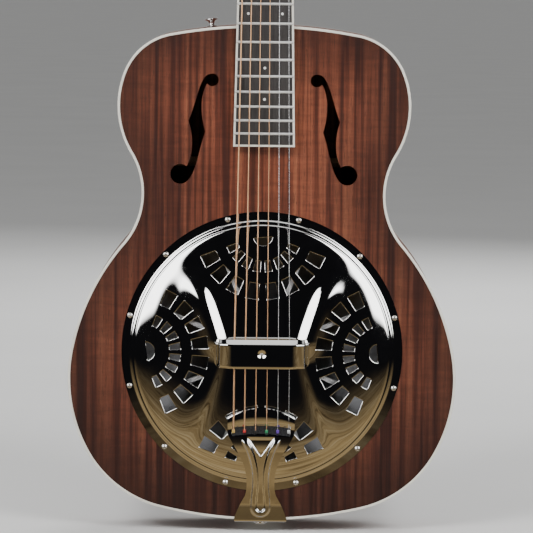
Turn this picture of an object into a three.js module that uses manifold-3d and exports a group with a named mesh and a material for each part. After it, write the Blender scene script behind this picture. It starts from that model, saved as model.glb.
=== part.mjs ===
// A spider-bridge resonator guitar with a round neck that is clear of the body at the twelfth fret.
//
// Units are millimetres. Every piece is modelled as if the guitar lay on its back: X runs from the bass side
// to the treble side, Y from the tail to the headstock and Z out of the front. The last lines stand it up, so
// that in the finished part +X is the treble side, +Y goes through the body to the back and +Z is up the neck.
// The origin is the tail end of the body, on its centre line and halfway through its depth.

import * as THREE from "three";
import { mergeVertices } from "three/addons/utils/BufferGeometryUtils.js";
import Module from "manifold-3d";

// ---- Driving dimensions -------------------------------------------------------------------------------

const GAP = 0.25; // glue line or clearance between neighbouring pieces

const BODY_DEPTH = 90;
const FRONT = BODY_DEPTH / 2;
const BACK = -BODY_DEPTH / 2;
const PLATE = 3; // top and back
const SIDE_WALL = 2.5;
const BINDING_WIDE = 2.5;
const BINDING_DEEP = 5;
const LINING_WIDE = 6;
const LINING_DEEP = 14;

// Outline of the body from the tail up to the neck: arcs that run smoothly into one another, each with its
// radius and the angle that it turns through. The negative angle is the waist. A last arc, worked out in
// halfOutline, closes the outline at the neck.
const BODY_ARCS = [
  { radius: 424, turn: 13.3 },
  { radius: 112.5, turn: 48.2 },
  { radius: 148, turn: 39.6 },
  { radius: 228, turn: 29.3 },
  { radius: 74.3, turn: -71.6 },
  { radius: 89.7, turn: 52.1 },
  { radius: 60.3, turn: 58.4 },
];
const OUTLINE_STEP = 9; // degrees of arc from one outline point to the next

const SCALE = 635; // vibrating length of the strings
const TWELFTH_FRET_Y = 483;
const SADDLE_Y = TWELFTH_FRET_Y - SCALE / 2;
const STRING_HEIGHT = 20; // above the front, at the saddle
const STRING_RADII = [0.71, 0.57, 0.45, 0.33, 0.22, 0.17]; // bass to treble
const NUT_SPREAD = 37.5; // first string to sixth
const SADDLE_SPREAD = 53.2;

const WELL_RADIUS = 124.5; // opening in the top for the resonator
const LEDGE_RADIUS = 112.5;
const LEDGE_DROP = 9; // cone's seat, below the front
const CONE_RADIUS = 120.6;
const COVER_RADIUS = 136.3;
const COVER_WALL = 1;
const FAN_COUNT = 4;
const FAN_CENTRE = 116; // from the middle of the coverplate to the middle of each fan
const FAN_MOON = { x: 3, radius: 9.7 }; // the half-moon, whose flat side is towards the rim
const FAN_SLOTS = 8;
const FAN_PITCH = 18.2; // degrees from slot to slot

const NECK_TILT = THREE.MathUtils.degToRad(1.5);
const HEAD_ANGLE = THREE.MathUtils.degToRad(14);
const BOARD_LIFT = 0.9; // fingerboard's underside above the front, at the twelfth fret
const BOARD_THICK = 6;
const BOARD_NUT_WIDTH = 43;
const BOARD_TWELFTH_WIDTH = 55;
const BOARD_OVERHANG = 118.2; // beyond the twelfth fret, over the body
const BOARD_BINDING = 2;
const NUT_THICK = 5.5;
const NUT_HEIGHT = 7.4;
const HEAD_LENGTH = 172;
const HEAD_THICK = 14.5;
const HEADPLATE = 1.5;

const POST_X = 20.5; // string posts, from the centre line
const POST_FIRST = 46; // along the headstock, from the nut
const POST_PITCH = 39;
const POST_RADIUS = 3;
const GEAR_TEETH = 15;
const GEAR_RADIUS = 6; // at the pitch line
const GEAR_THICK = 3.2;
const WORM_RADIUS = 2.6; // at the pitch line
const WORM_PITCH = (2 * Math.PI * GEAR_RADIUS) / GEAR_TEETH;
const SHAFT_RADIUS = 1.5;

// ---- Helpers ------------------------------------------------------------------------------------------

const wasm = await Module();
wasm.setup();

// A closed three.js geometry as a solid that can be joined and cut.
function solid(geometry) {
  const bare = geometry.clone();
  bare.deleteAttribute("normal");
  bare.deleteAttribute("uv");
  const merged = mergeVertices(bare, 1e-4);
  return new wasm.Manifold(
    new wasm.Mesh({
      numProp: 3,
      vertProperties: new Float32Array(merged.attributes.position.array),
      triVerts: new Uint32Array(merged.index.array),
    }),
  );
}

function geometryOf(made) {
  const mesh = made.getMesh();
  const indexed = new THREE.BufferGeometry()
    .setAttribute("position", new THREE.BufferAttribute(mesh.vertProperties, 3))
    .setIndex(new THREE.BufferAttribute(mesh.triVerts, 1));
  const flat = indexed.toNonIndexed();
  flat.computeVertexNormals();
  return flat;
}

const cut = (from, ...tools) => tools.reduce((rest, tool) => rest.subtract(tool), from);
const join = (first, ...others) => others.reduce((sum, other) => sum.add(other), first);

// A flat shape raised from z0 to z1.
function slab(shape, z0, z1, curveSegments = 8) {
  const raised = new THREE.ExtrudeGeometry(shape, { depth: z1 - z0, bevelEnabled: false, curveSegments });
  return raised.translate(0, 0, z0);
}

function box(x0, x1, y0, y1, z0, z1) {
  const made = new THREE.BoxGeometry(x1 - x0, y1 - y0, z1 - z0);
  return made.translate((x0 + x1) / 2, (y0 + y1) / 2, (z0 + z1) / 2);
}

// Turns a shape drawn as seen from the treble side, with Y across and Z up, so that it is raised along X.
const SIDE_VIEW = new THREE.Matrix4().makeBasis(
  new THREE.Vector3(0, 1, 0),
  new THREE.Vector3(0, 0, 1),
  new THREE.Vector3(1, 0, 0),
);

// A round bar along Z.
function bar(radius, z0, z1, sides = 16) {
  const made = new THREE.CylinderGeometry(radius, radius, z1 - z0, sides);
  return made.rotateX(Math.PI / 2).translate(0, 0, (z0 + z1) / 2);
}

// A turned piece about Z, from its profile of [radius, height] pairs listed with the material on the left.
function turned(profile, segments) {
  const points = profile.map(([radius, height]) => new THREE.Vector2(radius, height));
  return new THREE.LatheGeometry(points, segments).rotateX(Math.PI / 2);
}

// A skin over rings of points, each listed anticlockwise as seen looking back along the row of rings, with
// its first and last ring filled in.
function loft(rings) {
  const sides = rings[0].length;
  const faces = [];
  for (let row = 1; row < rings.length; row++) {
    for (let k = 0; k < sides; k++) {
      const a = (row - 1) * sides + k;
      const b = (row - 1) * sides + ((k + 1) % sides);
      faces.push(a, b, a + sides, b, b + sides, a + sides);
    }
  }
  const last = (rings.length - 1) * sides;
  for (let k = 1; k + 1 < sides; k++) {
    faces.push(0, k + 1, k, last, last + k, last + k + 1);
  }
  return new THREE.BufferGeometry().setFromPoints(rings.flat()).setIndex(faces);
}

const guitar = new THREE.Group();
const neckFrame = new THREE.Group(); // lies on the fingerboard's underside, at the twelfth fret
neckFrame.position.set(0, TWELFTH_FRET_Y, FRONT + BOARD_LIFT);
neckFrame.rotation.x = -NECK_TILT;
const headFrame = new THREE.Group(); // lies on the headstock's face, behind the nut
headFrame.position.set(0, SCALE / 2 + NUT_THICK + GAP, 0);
headFrame.rotation.x = -HEAD_ANGLE;
neckFrame.add(headFrame);
guitar.add(neckFrame);
guitar.updateMatrixWorld(true);

const fromHead = (x, y, z) => headFrame.localToWorld(new THREE.Vector3(x, y, z));
const fromNeck = (x, y, z) => neckFrame.localToWorld(new THREE.Vector3(x, y, z));

const finish = {
  mahogany: { color: 0x6b2e1c, roughness: 0.45, metalness: 0 },
  spruce: { color: 0xc9a877, roughness: 0.7, metalness: 0 },
  ply: { color: 0xb08a5c, roughness: 0.7, metalness: 0 },
  cream: { color: 0xe6e0cc, roughness: 0.35, metalness: 0 },
  rosewood: { color: 0x2b2725, roughness: 0.55, metalness: 0 },
  chrome: { color: 0xd6d6d4, roughness: 0.06, metalness: 1 },
  aluminium: { color: 0xa9abad, roughness: 0.4, metalness: 1 },
  maple: { color: 0xd9bd8b, roughness: 0.5, metalness: 0 },
  bone: { color: 0xe9e4d3, roughness: 0.35, metalness: 0 },
  steel: { color: 0xb9bbbd, roughness: 0.3, metalness: 1 },
  brass: { color: 0xb9924a, roughness: 0.35, metalness: 1 },
  bronze: { color: 0xb9794a, roughness: 0.35, metalness: 1 },
};
const materials = Object.fromEntries(
  Object.entries(finish).map(([name, look]) => [name, new THREE.MeshStandardMaterial({ name, ...look })]),
);

function place(parent, name, material, shape) {
  const geometry = shape.isBufferGeometry ? shape : geometryOf(shape);
  const mesh = new THREE.Mesh(geometry, materials[material]);
  mesh.name = name;
  parent.add(mesh);
  return mesh;
}

// ---- Body ---------------------------------------------------------------------------------------------

// Points of the treble half of the body's outline, moved in from the edge by inset.
function halfOutline(inset) {
  const radians = THREE.MathUtils.degToRad;
  const points = [new THREE.Vector2(0, inset)];
  let heading = 0;
  let spot = points[0].clone();
  const addArc = (radius, turn) => {
    const side = Math.sign(turn);
    const trueRadius = radius - side * inset;
    const centre = new THREE.Vector2(-Math.sin(heading), Math.cos(heading))
      .multiplyScalar(side * trueRadius)
      .add(spot);
    const steps = Math.max(2, Math.ceil(Math.abs(turn) / OUTLINE_STEP));
    for (let k = 1; k <= steps; k++) {
      const now = heading + (radians(turn) * k) / steps;
      const offset = new THREE.Vector2(Math.sin(now), -Math.cos(now)).multiplyScalar(side * trueRadius);
      points.push(offset.add(centre));
    }
    heading += radians(turn);
    spot = points[points.length - 1].clone();
  };
  for (const { radius, turn } of BODY_ARCS) {
    addArc(radius, turn);
  }
  const left = 180 - BODY_ARCS.reduce((sum, arc) => sum + arc.turn, 0);
  addArc(spot.x / Math.sin(radians(left)) + inset, left);
  points[points.length - 1].x = 0;
  return points;
}

const mirrored = (points) => points.map((point) => new THREE.Vector2(-point.x, point.y));

// The whole outline, without doubling the two points on the centre line.
function outline(inset) {
  const treble = halfOutline(inset);
  return [...treble, ...mirrored(treble.slice(1, -1)).reverse()];
}

function ring(outerInset, innerInset, z0, z1) {
  const shape = new THREE.Shape(outline(outerInset));
  shape.holes.push(new THREE.Path(outline(innerInset)));
  return slab(shape, z0, z1);
}

const BODY_LENGTH = halfOutline(0).at(-1).y;

// The sound hole of the treble side: an upper and a lower eye, joined by a stem with a point on either edge.
function soundHole(side) {
  const hole = new THREE.Path();
  const upper = { x: 50.4, y: 428.5, radius: 6.1 };
  const lower = { x: 80.7, y: 337.5, radius: 9.6 };
  const at = (eye, degrees) => {
    const angle = THREE.MathUtils.degToRad(degrees);
    return [eye.x + eye.radius * Math.cos(angle), eye.y + eye.radius * Math.sin(angle)];
  };
  const outerPoint = [73.2, 388.3];
  const innerPoint = [56.8, 378.7];
  const bend = (c1, c2, end) => hole.bezierCurveTo(...c1, ...c2, ...end);
  const eyeArc = (eye, from, to) => {
    const radians = THREE.MathUtils.degToRad;
    hole.absarc(eye.x, eye.y, eye.radius, radians(from), radians(to), true);
  };
  hole.moveTo(...at(upper, 78));
  bend([62.3, 434.5], [65, 408], outerPoint);
  bend([69, 379], [66.8, 358], at(lower, 130));
  eyeArc(lower, 130, -114);
  bend([65.5, 333.5], [63.5, 361], innerPoint);
  bend([61, 392], [63.2, 412], at(upper, -35));
  eyeArc(upper, -35, -282);
  const points = hole.getPoints(5);
  return new THREE.Path(side > 0 ? points : mirrored(points));
}

function top() {
  const shape = new THREE.Shape(outline(BINDING_WIDE + GAP));
  const well = new THREE.Path().absarc(0, SADDLE_Y, WELL_RADIUS, 0, 2 * Math.PI, false);
  shape.holes.push(new THREE.Path(well.getPoints(48)), soundHole(1), soundHole(-1));
  return slab(shape, FRONT - PLATE, FRONT);
}

function back() {
  return slab(new THREE.Shape(outline(BINDING_WIDE + GAP)), BACK, BACK + PLATE);
}

// One bent side, cut short of the other at the tail and at the neck, with the strap buttons' screw holes.
function side(sign) {
  const wall = solid(ring(0, SIDE_WALL, BACK + BINDING_DEEP + GAP, FRONT - BINDING_DEEP - GAP));
  const far = 2 * COVER_RADIUS;
  const otherHalf = solid(box(-far, GAP / 2, -10, BODY_LENGTH + 10, BACK, FRONT));
  const half = wall.subtract(otherHalf).subtract(solid(tailScrewHole()));
  if (sign > 0) {
    return half;
  }
  const trebleHalf = solid(box(-GAP / 2, far, -10, BODY_LENGTH + 10, BACK, FRONT));
  return cut(wall, trebleHalf, solid(tailScrewHole()), solid(shoulderScrewHole()));
}

const lining = (z0, z1) => ring(SIDE_WALL + GAP, SIDE_WALL + GAP + LINING_WIDE, z0, z1);
const liningRoom = (z0, z1) => solid(ring(-1, SIDE_WALL + LINING_WIDE + 3 * GAP, z0 - GAP, z1 + GAP));
const TOP_LINING = [FRONT - PLATE - GAP - LINING_DEEP, FRONT - PLATE - GAP];
const BACK_LINING = [BACK + PLATE + GAP, BACK + PLATE + GAP + LINING_DEEP];

// A block of end grain between the two plates, shaped to the inside of the sides and to the linings.
function block(rough) {
  const inside = new THREE.Shape(outline(SIDE_WALL + GAP));
  const full = solid(slab(inside, BACK + PLATE + GAP, FRONT - PLATE - GAP));
  return cut(full.intersect(rough), liningRoom(...TOP_LINING), liningRoom(...BACK_LINING));
}

// The neck block stays clear of the sound holes' upper eyes. Its shoulders take the strap button's screw.
function neckBlock() {
  const middle = solid(box(-42, 42, BODY_LENGTH - 62, BODY_LENGTH, BACK, FRONT));
  const shoulders = solid(box(-63, 63, BODY_LENGTH - 36, BODY_LENGTH, BACK, FRONT));
  return cut(block(join(middle, shoulders)), solid(shoulderScrewHole()));
}

const tailBlock = () => cut(block(solid(box(-42, 42, 0, 24, BACK, FRONT))), solid(tailScrewHole()));

function backBrace(y, thick) {
  const inside = new THREE.Shape(outline(SIDE_WALL + LINING_WIDE + 3 * GAP));
  const room = solid(slab(inside, BACK, FRONT));
  const profile = new THREE.Shape([
    new THREE.Vector2(-thick / 2, 0),
    new THREE.Vector2(thick / 2, 0),
    new THREE.Vector2(thick / 2, 7),
    new THREE.Vector2(0, 12),
    new THREE.Vector2(-thick / 2, 7),
  ]);
  const length = 4 * COVER_RADIUS;
  const strip = slab(profile, -length / 2, length / 2)
    .rotateX(Math.PI / 2)
    .rotateZ(Math.PI / 2)
    .translate(0, y, BACK + PLATE + GAP);
  return room.intersect(solid(strip));
}

// ---- Resonator ----------------------------------------------------------------------------------------

const aboutSaddle = (geometry) => geometry.translate(0, SADDLE_Y, FRONT);

// The wooden ring under the top, with the ledge that carries the cone.
function soundwell() {
  const floor = -LEDGE_DROP - 9;
  const outer = 138;
  const profile = [
    [LEDGE_RADIUS, floor],
    [outer, floor],
    [outer, -PLATE - GAP],
    [WELL_RADIUS, -PLATE - GAP],
    [WELL_RADIUS, -LEDGE_DROP],
    [LEDGE_RADIUS, -LEDGE_DROP],
    [LEDGE_RADIUS, floor],
  ];
  return aboutSaddle(turned(profile, 48));
}

// The spun cone, dished down from its rim and raised again to a point in the middle.
function cone() {
  const wall = 0.8;
  const seat = -LEDGE_DROP + GAP;
  const top = [
    [CONE_RADIUS, seat + wall],
    [CONE_RADIUS - 7, seat + wall],
    [CONE_RADIUS - 11, seat - 1.2],
    [80, seat - 13.5],
    [48, seat - 21],
    [38, seat - 21.5],
    [9, seat - 7],
    [0, seat - 6],
  ];
  const under = [
    [CONE_RADIUS - 8, seat],
    [CONE_RADIUS - 11.6, seat - 2.2],
    [80, seat - 13.5 - wall],
    [48, seat - 21 - wall],
    [38, seat - 21.5 - wall],
    [9, seat - 7 - wall],
    [0, seat - 6 - wall],
  ];
  return aboutSaddle(turned([...under.reverse(), [CONE_RADIUS, seat], ...top], 48));
}

// Eight arched legs from a hub that holds the saddle to feet on the cone's rim.
function spider() {
  const hubRadius = 20;
  const footRadius = CONE_RADIUS - 3.5;
  const footBottom = -LEDGE_DROP + GAP + 0.8 + GAP;
  const hub = cut(
    solid(bar(hubRadius, -1, 5.5, 24)),
    solid(bar(hubRadius - 4, -2, 1.5, 24)),
    solid(bar(2.3, -2, 7, 12)),
  );
  const rail = solid(box(-31.5, 31.5, -5.5, 5.5, 1.5, 5.5)).subtract(solid(bar(2.3, -2, 7, 12)));
  const legSide = new THREE.Shape();
  legSide.moveTo(hubRadius - 3, 0);
  legSide.quadraticCurveTo(70, 1, footRadius - 6, footBottom + 2.5);
  legSide.lineTo(footRadius - 6, footBottom);
  legSide.lineTo(footRadius, footBottom);
  legSide.lineTo(footRadius, footBottom + 4);
  legSide.quadraticCurveTo(70, 6.5, hubRadius - 3, 5);
  legSide.closePath();
  const legs = Array.from({ length: 8 }, (_, k) => {
    const angle = THREE.MathUtils.degToRad(22.5 + 45 * k);
    return solid(slab(legSide, -2, 2, 4).rotateX(Math.PI / 2).rotateZ(angle));
  });
  const slot = solid(box(-32, 32, -2, 2, 3.2, 8));
  const whole = cut(join(hub, rail, ...legs), slot);
  return aboutSaddle(geometryOf(whole));
}

// The saddle stands in the spider's slot. Its notch clears the tension screw.
function saddle() {
  const shape = new THREE.Shape();
  const crown = STRING_HEIGHT - STRING_RADII[0] - GAP;
  shape.moveTo(-31, 3.5);
  shape.lineTo(-4, 3.5);
  shape.lineTo(-4, 12.5);
  shape.lineTo(4, 12.5);
  shape.lineTo(4, 3.5);
  shape.lineTo(31, 3.5);
  shape.lineTo(31, crown - 1.2);
  shape.lineTo(29, crown);
  shape.lineTo(-29, crown);
  shape.lineTo(-31, crown - 1.2);
  shape.closePath();
  return aboutSaddle(slab(shape, -1.7, 1.7).rotateX(Math.PI / 2));
}

function tensionScrew() {
  const coneTop = -LEDGE_DROP + GAP - 6 + GAP;
  const profile = [
    [0, coneTop],
    [1.9, coneTop],
    [1.9, 5.8],
    [3.4, 6.3],
    [3.4, 7.6],
    [2.6, 8.4],
    [0, 8.4],
  ];
  return aboutSaddle(turned(profile, 16));
}

// A slot of a fan: its two sides lie on rays from the fan's centre.
function fanSlot(inner, outer, degrees) {
  const spread = THREE.MathUtils.degToRad(5.9);
  const middle = THREE.MathUtils.degToRad(degrees);
  const corner = (radius, turn) =>
    new THREE.Vector2(radius * Math.cos(middle + turn), radius * Math.sin(middle + turn));
  const corners = [
    corner(inner, -spread),
    corner(outer, -spread),
    corner(outer, spread),
    corner(inner, spread),
  ];
  return slab(new THREE.Shape(corners), -5, 20);
}

// The openings of one fan, which spreads from its half-moon towards the middle of the plate.
function fanOpenings(quarter) {
  const moon = new THREE.Shape();
  moon.absarc(FAN_MOON.x, 0, FAN_MOON.radius, -Math.PI / 2, Math.PI / 2, false);
  const tools = [slab(moon, -5, 20, 6)];
  for (let k = 0; k < FAN_SLOTS; k++) {
    const degrees = (k - (FAN_SLOTS - 1) / 2) * FAN_PITCH;
    tools.push(fanSlot(26.5, 38, degrees), fanSlot(48.5, 65, degrees));
  }
  return tools.map((tool) => solid(tool.translate(-FAN_CENTRE, 0, 0).rotateZ((quarter * Math.PI) / 2)));
}

// Height of the coverplate's outer face above the front, from the rim to the middle.
const COVER_CROWN = 10.5;
const COVER_RIM = 1.3;
const COVER_PROFILE = [
  [COVER_RADIUS, COVER_RIM],
  [128.5, 1.4],
  [125.5, 3.4],
  [117, 6.2],
  [104, 8],
  [84, 9.2],
  [45, 10.3],
  [0, COVER_CROWN],
];

function coverplate() {
  const steepFrom = 90; // the sheet is steep outside this radius, so its inner face lies nearer the middle
  const under = COVER_PROFILE.slice(1).map(([radius, height]) => [
    radius > steepFrom ? radius - COVER_WALL / 2 : radius,
    height - COVER_WALL,
  ]);
  const profile = [...under.reverse(), [COVER_RADIUS, COVER_RIM - COVER_WALL], ...COVER_PROFILE];
  const openings = Array.from({ length: FAN_COUNT }, (_, quarter) => fanOpenings(quarter)).flat();
  const window = solid(box(-34, 34, -9, 9, -5, 20));
  return aboutSaddle(geometryOf(cut(solid(turned(profile, 48)), window, ...openings)));
}

// A bridge of bent sheet over the strings, with a wide foot on the coverplate at each end.
function palmRest() {
  const over = STRING_HEIGHT + 5;
  const sheet = 1.6;
  const foot = COVER_CROWN + GAP;
  const section = new THREE.Shape();
  section.moveTo(-47, foot);
  section.lineTo(-38.4, foot);
  section.lineTo(-32, over - sheet);
  section.lineTo(32, over - sheet);
  section.lineTo(38.4, foot);
  section.lineTo(47, foot);
  section.lineTo(47, foot + sheet);
  section.lineTo(39.4, foot + sheet);
  section.quadraticCurveTo(36.5, over, 32, over);
  section.lineTo(-32, over);
  section.quadraticCurveTo(-36.5, over, -39.4, foot + sheet);
  section.lineTo(-47, foot + sheet);
  section.closePath();
  const strap = solid(slab(section, -14, 14, 4).rotateX(Math.PI / 2));
  return aboutSaddle(geometryOf(strap.subtract(solid(bar(2.8, 0, 40, 16)))));
}

// ---- Tailpiece ----------------------------------------------------------------------------------------

const ANCHOR_Y = 88; // string balls
const ANCHOR_HEIGHT = 13.6; // strings above the front at the tailpiece
const TAILPIECE_SHEET = 1.6;
const TAIL_SPREAD = 53.6;
const TAIL_SCREW_RADIUS = 2.3;

const stringX = (spread, number) => spread * (number / 5 - 0.5);
const tailScrewHole = () => bar(TAIL_SCREW_RADIUS + GAP, -30, 30, 12).rotateX(Math.PI / 2);

// Plan of the tailpiece: a string bar on a stem, which widens again into the hanger.
function tailpiecePlan() {
  const plan = new THREE.Shape();
  plan.moveTo(25, -4);
  plan.lineTo(25, 1.5);
  plan.quadraticCurveTo(20.5, 17, 14.5, 27);
  plan.bezierCurveTo(12.6, 45, 16, 58, 24, 70);
  plan.quadraticCurveTo(29, 78, 33, 84);
  plan.lineTo(33, 103.5);
  plan.quadraticCurveTo(0, 121.5, -33, 103.5);
  plan.lineTo(-33, 84);
  plan.quadraticCurveTo(-29, 78, -24, 70);
  plan.bezierCurveTo(-16, 58, -12.6, 45, -14.5, 27);
  plan.quadraticCurveTo(-20.5, 17, -25, 1.5);
  plan.lineTo(-25, -4);
  plan.closePath();
  for (let number = 0; number < 6; number++) {
    const x = stringX(TAIL_SPREAD, number);
    plan.holes.push(new THREE.Path().absarc(x, ANCHOR_Y, 1.6, 0, 2 * Math.PI, false));
  }
  return slab(plan, FRONT - 30, FRONT + 30, 5);
}

// Side view of the same sheet: from the string bar down over the coverplate and round the tail.
function tailpiece() {
  const s = TAILPIECE_SHEET;
  const high = ANCHOR_HEIGHT - 1.2;
  const run = new THREE.Shape([
    new THREE.Vector2(114, high - s),
    new THREE.Vector2(114, high),
    new THREE.Vector2(64, high - 0.6),
    new THREE.Vector2(26, 6.6),
    new THREE.Vector2(9, 3),
    new THREE.Vector2(-1, 1.9),
    new THREE.Vector2(-GAP - s, 0.4),
    new THREE.Vector2(-GAP - s, -58),
    new THREE.Vector2(-GAP, -58),
    new THREE.Vector2(-GAP, 0.3),
    new THREE.Vector2(9, 3 - s),
    new THREE.Vector2(26, 6.6 - s - 0.1),
    new THREE.Vector2(64, high - 0.6 - s),
  ]);
  const strip = slab(run, -40, 40).applyMatrix4(SIDE_VIEW);
  const sheet = solid(strip.translate(0, 0, FRONT));
  const face = sheet.intersect(solid(tailpiecePlan()));
  const apron = sheet.intersect(solid(box(-21, 21, -5, -GAP, -13, FRONT + 1)));
  return cut(join(face, apron), solid(tailScrewHole()));
}

// ---- Strap buttons ------------------------------------------------------------------------------------

const SHOULDER_X = -52;

// A strap button with its screw, standing along Z from z = 0.
function strapButton(reach) {
  const profile = [
    [0, -reach],
    [1.2, -reach + 2],
    [TAIL_SCREW_RADIUS - 0.3, -reach + 5],
    [TAIL_SCREW_RADIUS - 0.3, GAP],
    [4.6, GAP],
    [4.6, 1],
    [2.9, 2.6],
    [2.7, 5],
    [5.6, 6.8],
    [6.6, 8.2],
    [5.2, 9.5],
    [0, 9.5],
  ];
  return turned(profile, 16);
}

// Where the shoulder's button stands: a point of the outline and the direction out of it.
function shoulderSeat() {
  const points = mirrored(halfOutline(0));
  const last = points.findLastIndex((point) => point.x < SHOULDER_X);
  const [a, b] = [points[last], points[last + 1]];
  const seat = a.clone().lerp(b, (SHOULDER_X - a.x) / (b.x - a.x));
  return { seat, lean: Math.atan2(b.y - a.y, b.x - a.x) };
}

function atShoulder(geometry) {
  const { seat, lean } = shoulderSeat();
  return geometry.rotateX(-Math.PI / 2).rotateZ(lean).translate(seat.x, seat.y, 0);
}

const shoulderScrewHole = () => atShoulder(bar(TAIL_SCREW_RADIUS, -24, 4, 12));

// ---- Neck ---------------------------------------------------------------------------------------------

const boardWidth = (v) =>
  BOARD_TWELFTH_WIDTH + ((BOARD_NUT_WIDTH - BOARD_TWELFTH_WIDTH) * v) / (SCALE / 2);

// A ring of the neck at v along it: depth below the fingerboard, and how far it has turned into the heel.
function neckRing(v, depth, heel) {
  const half = boardWidth(v) / 2;
  const steps = 7;
  const treble = Array.from({ length: steps + 1 }, (_, k) => {
    const angle = (k * Math.PI) / 2 / steps;
    const down = Math.sin(angle);
    const round = half * Math.cos(angle);
    const tapered = half * (1 - 0.58 * down);
    return new THREE.Vector3(round + (tapered - round) * heel, v, -GAP - depth * down);
  });
  treble[steps].x = Math.max(treble[steps].x, 0.6);
  const bass = treble.map((point) => new THREE.Vector3(-point.x, point.y, point.z)).reverse();
  return [...treble, ...bass];
}

function headOutline(inset) {
  const half = (sign) => {
    const shape = new THREE.Path();
    shape.moveTo(sign * (BOARD_NUT_WIDTH / 2 - inset), inset);
    shape.bezierCurveTo(sign * (22.5 - inset), 10, sign * (31.5 - inset), 16, sign * (32.5 - inset), 30);
    shape.lineTo(sign * (35.5 - inset), HEAD_LENGTH - 14);
    shape.quadraticCurveTo(sign * (20 - inset), HEAD_LENGTH - 6 - inset, 0, HEAD_LENGTH - inset);
    return shape.getPoints(6);
  };
  return new THREE.Shape([...half(1), ...half(-1).slice(0, -1).reverse()]);
}

const postPlaces = [0, 1, 2].map((row) => POST_FIRST + row * POST_PITCH);
const postHoles = (radius) =>
  [1, -1].flatMap((sign) =>
    postPlaces.map((y) => solid(bar(radius, -40, 30, 12).translate(sign * POST_X, y, 0))),
  );

// The body's own space, as seen from the neck, so that the heel and the tongue are cut to fit it.
function bodySpace() {
  const space = box(-90, 90, -200, BODY_LENGTH + GAP, BACK - 40, FRONT + GAP);
  return solid(space.translate(0, -TWELFTH_FRET_Y, -FRONT - BOARD_LIFT).rotateX(NECK_TILT));
}

// Shaft, heel, tongue under the fingerboard's end and headstock, all of one piece of wood.
function neck() {
  const nut = SCALE / 2;
  const shaft = loft(
    [
      neckRing(-4, 100, 1),
      neckRing(4, 96, 0.95),
      neckRing(9, 66, 0.7),
      neckRing(16, 36, 0.4),
      neckRing(26, 23, 0.12),
      neckRing(42, 18, 0),
      neckRing(160, 16.5, 0),
      neckRing(nut - 12, 15, 0),
      neckRing(nut + NUT_THICK + GAP, 15.5, 0),
    ],
  );
  const tongueHalf = boardWidth(-BOARD_OVERHANG) / 2 - 5;
  const tongue = box(-tongueHalf, tongueHalf, -BOARD_OVERHANG + 3, 8, -8, -GAP);
  const head = slab(headOutline(0), -HEADPLATE - GAP - HEAD_THICK, -HEADPLATE - GAP, 6);
  const inNeck = (geometry) => solid(geometry.rotateX(-HEAD_ANGLE).translate(0, headFrame.position.y, 0));
  const holes = postHoles(POST_RADIUS + GAP).map((hole) => inNeck(geometryOf(hole)));
  const rodChannel = solid(box(-3.6, 3.6, 8, nut + 34, -9.5, 4));
  const belowBack = box(-90, 90, 0, 200, BACK - 60, BACK)
    .translate(0, -TWELFTH_FRET_Y + BODY_LENGTH, -FRONT - BOARD_LIFT)
    .rotateX(NECK_TILT);
  const whole = join(solid(shaft), solid(tongue), inNeck(head));
  return cut(whole, bodySpace(), solid(belowBack), rodChannel, ...holes);
}

function trussRod() {
  const nut = SCALE / 2;
  const rod = solid(bar(2.8, 12, nut + 8, 12));
  const hexNut = solid(bar(3.3, nut + 8 - GAP, nut + 20, 6));
  return solid(geometryOf(join(rod, hexNut)).rotateX(-Math.PI / 2).translate(0, 0, -5.2));
}

function boardShape(inset) {
  const nut = SCALE / 2;
  const end = -BOARD_OVERHANG;
  return new THREE.Shape([
    new THREE.Vector2(-boardWidth(end + inset) / 2 + inset, end + inset),
    new THREE.Vector2(boardWidth(end + inset) / 2 - inset, end + inset),
    new THREE.Vector2(boardWidth(nut) / 2 - inset, nut - GAP),
    new THREE.Vector2(-boardWidth(nut) / 2 + inset, nut - GAP),
  ]);
}

const fingerboard = () => slab(boardShape(BOARD_BINDING + GAP), 0, BOARD_THICK);

function boardBinding() {
  const whole = solid(slab(boardShape(0), 0, BOARD_THICK));
  const inner = solid(slab(boardShape(BOARD_BINDING), -1, BOARD_THICK + 1));
  const nutEnd = solid(box(-15, 15, 200, SCALE / 2 + 1, -1, BOARD_THICK + 1));
  return cut(whole, inner, nutEnd);
}

function nut() {
  const y = SCALE / 2;
  const side = new THREE.Shape([
    new THREE.Vector2(y, 0),
    new THREE.Vector2(y + NUT_THICK, 0),
    new THREE.Vector2(y + NUT_THICK, NUT_HEIGHT - 2.2),
    new THREE.Vector2(y + 3, NUT_HEIGHT - 0.4),
    new THREE.Vector2(y, NUT_HEIGHT),
  ]);
  const half = BOARD_NUT_WIDTH / 2;
  return slab(side, -half, half).applyMatrix4(SIDE_VIEW);
}

function headplate() {
  const rodPocket = solid(box(-4.5, 4.5, 0, 24, -5, 5));
  return cut(solid(slab(headOutline(0.4), -HEADPLATE, 0, 6)), rodPocket, ...postHoles(POST_RADIUS + GAP));
}

// ---- Tuners -------------------------------------------------------------------------------------------

const PLATE_TOP = -HEADPLATE - 2 * GAP - HEAD_THICK;
const PLATE_THICK = 1.3;
const GEAR_TOP = PLATE_TOP - PLATE_THICK - 0.6;
const GEAR_MIDDLE = GEAR_TOP - GEAR_THICK / 2;
const WORM_DROP = GEAR_RADIUS + WORM_RADIUS; // from the post's axis towards the nut
const LUG_X = [-8.4, 5.2]; // inner faces of the two lugs, from the post's axis
const LUG_THICK = 1.8;
const SHAFT_END = 34;

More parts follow.
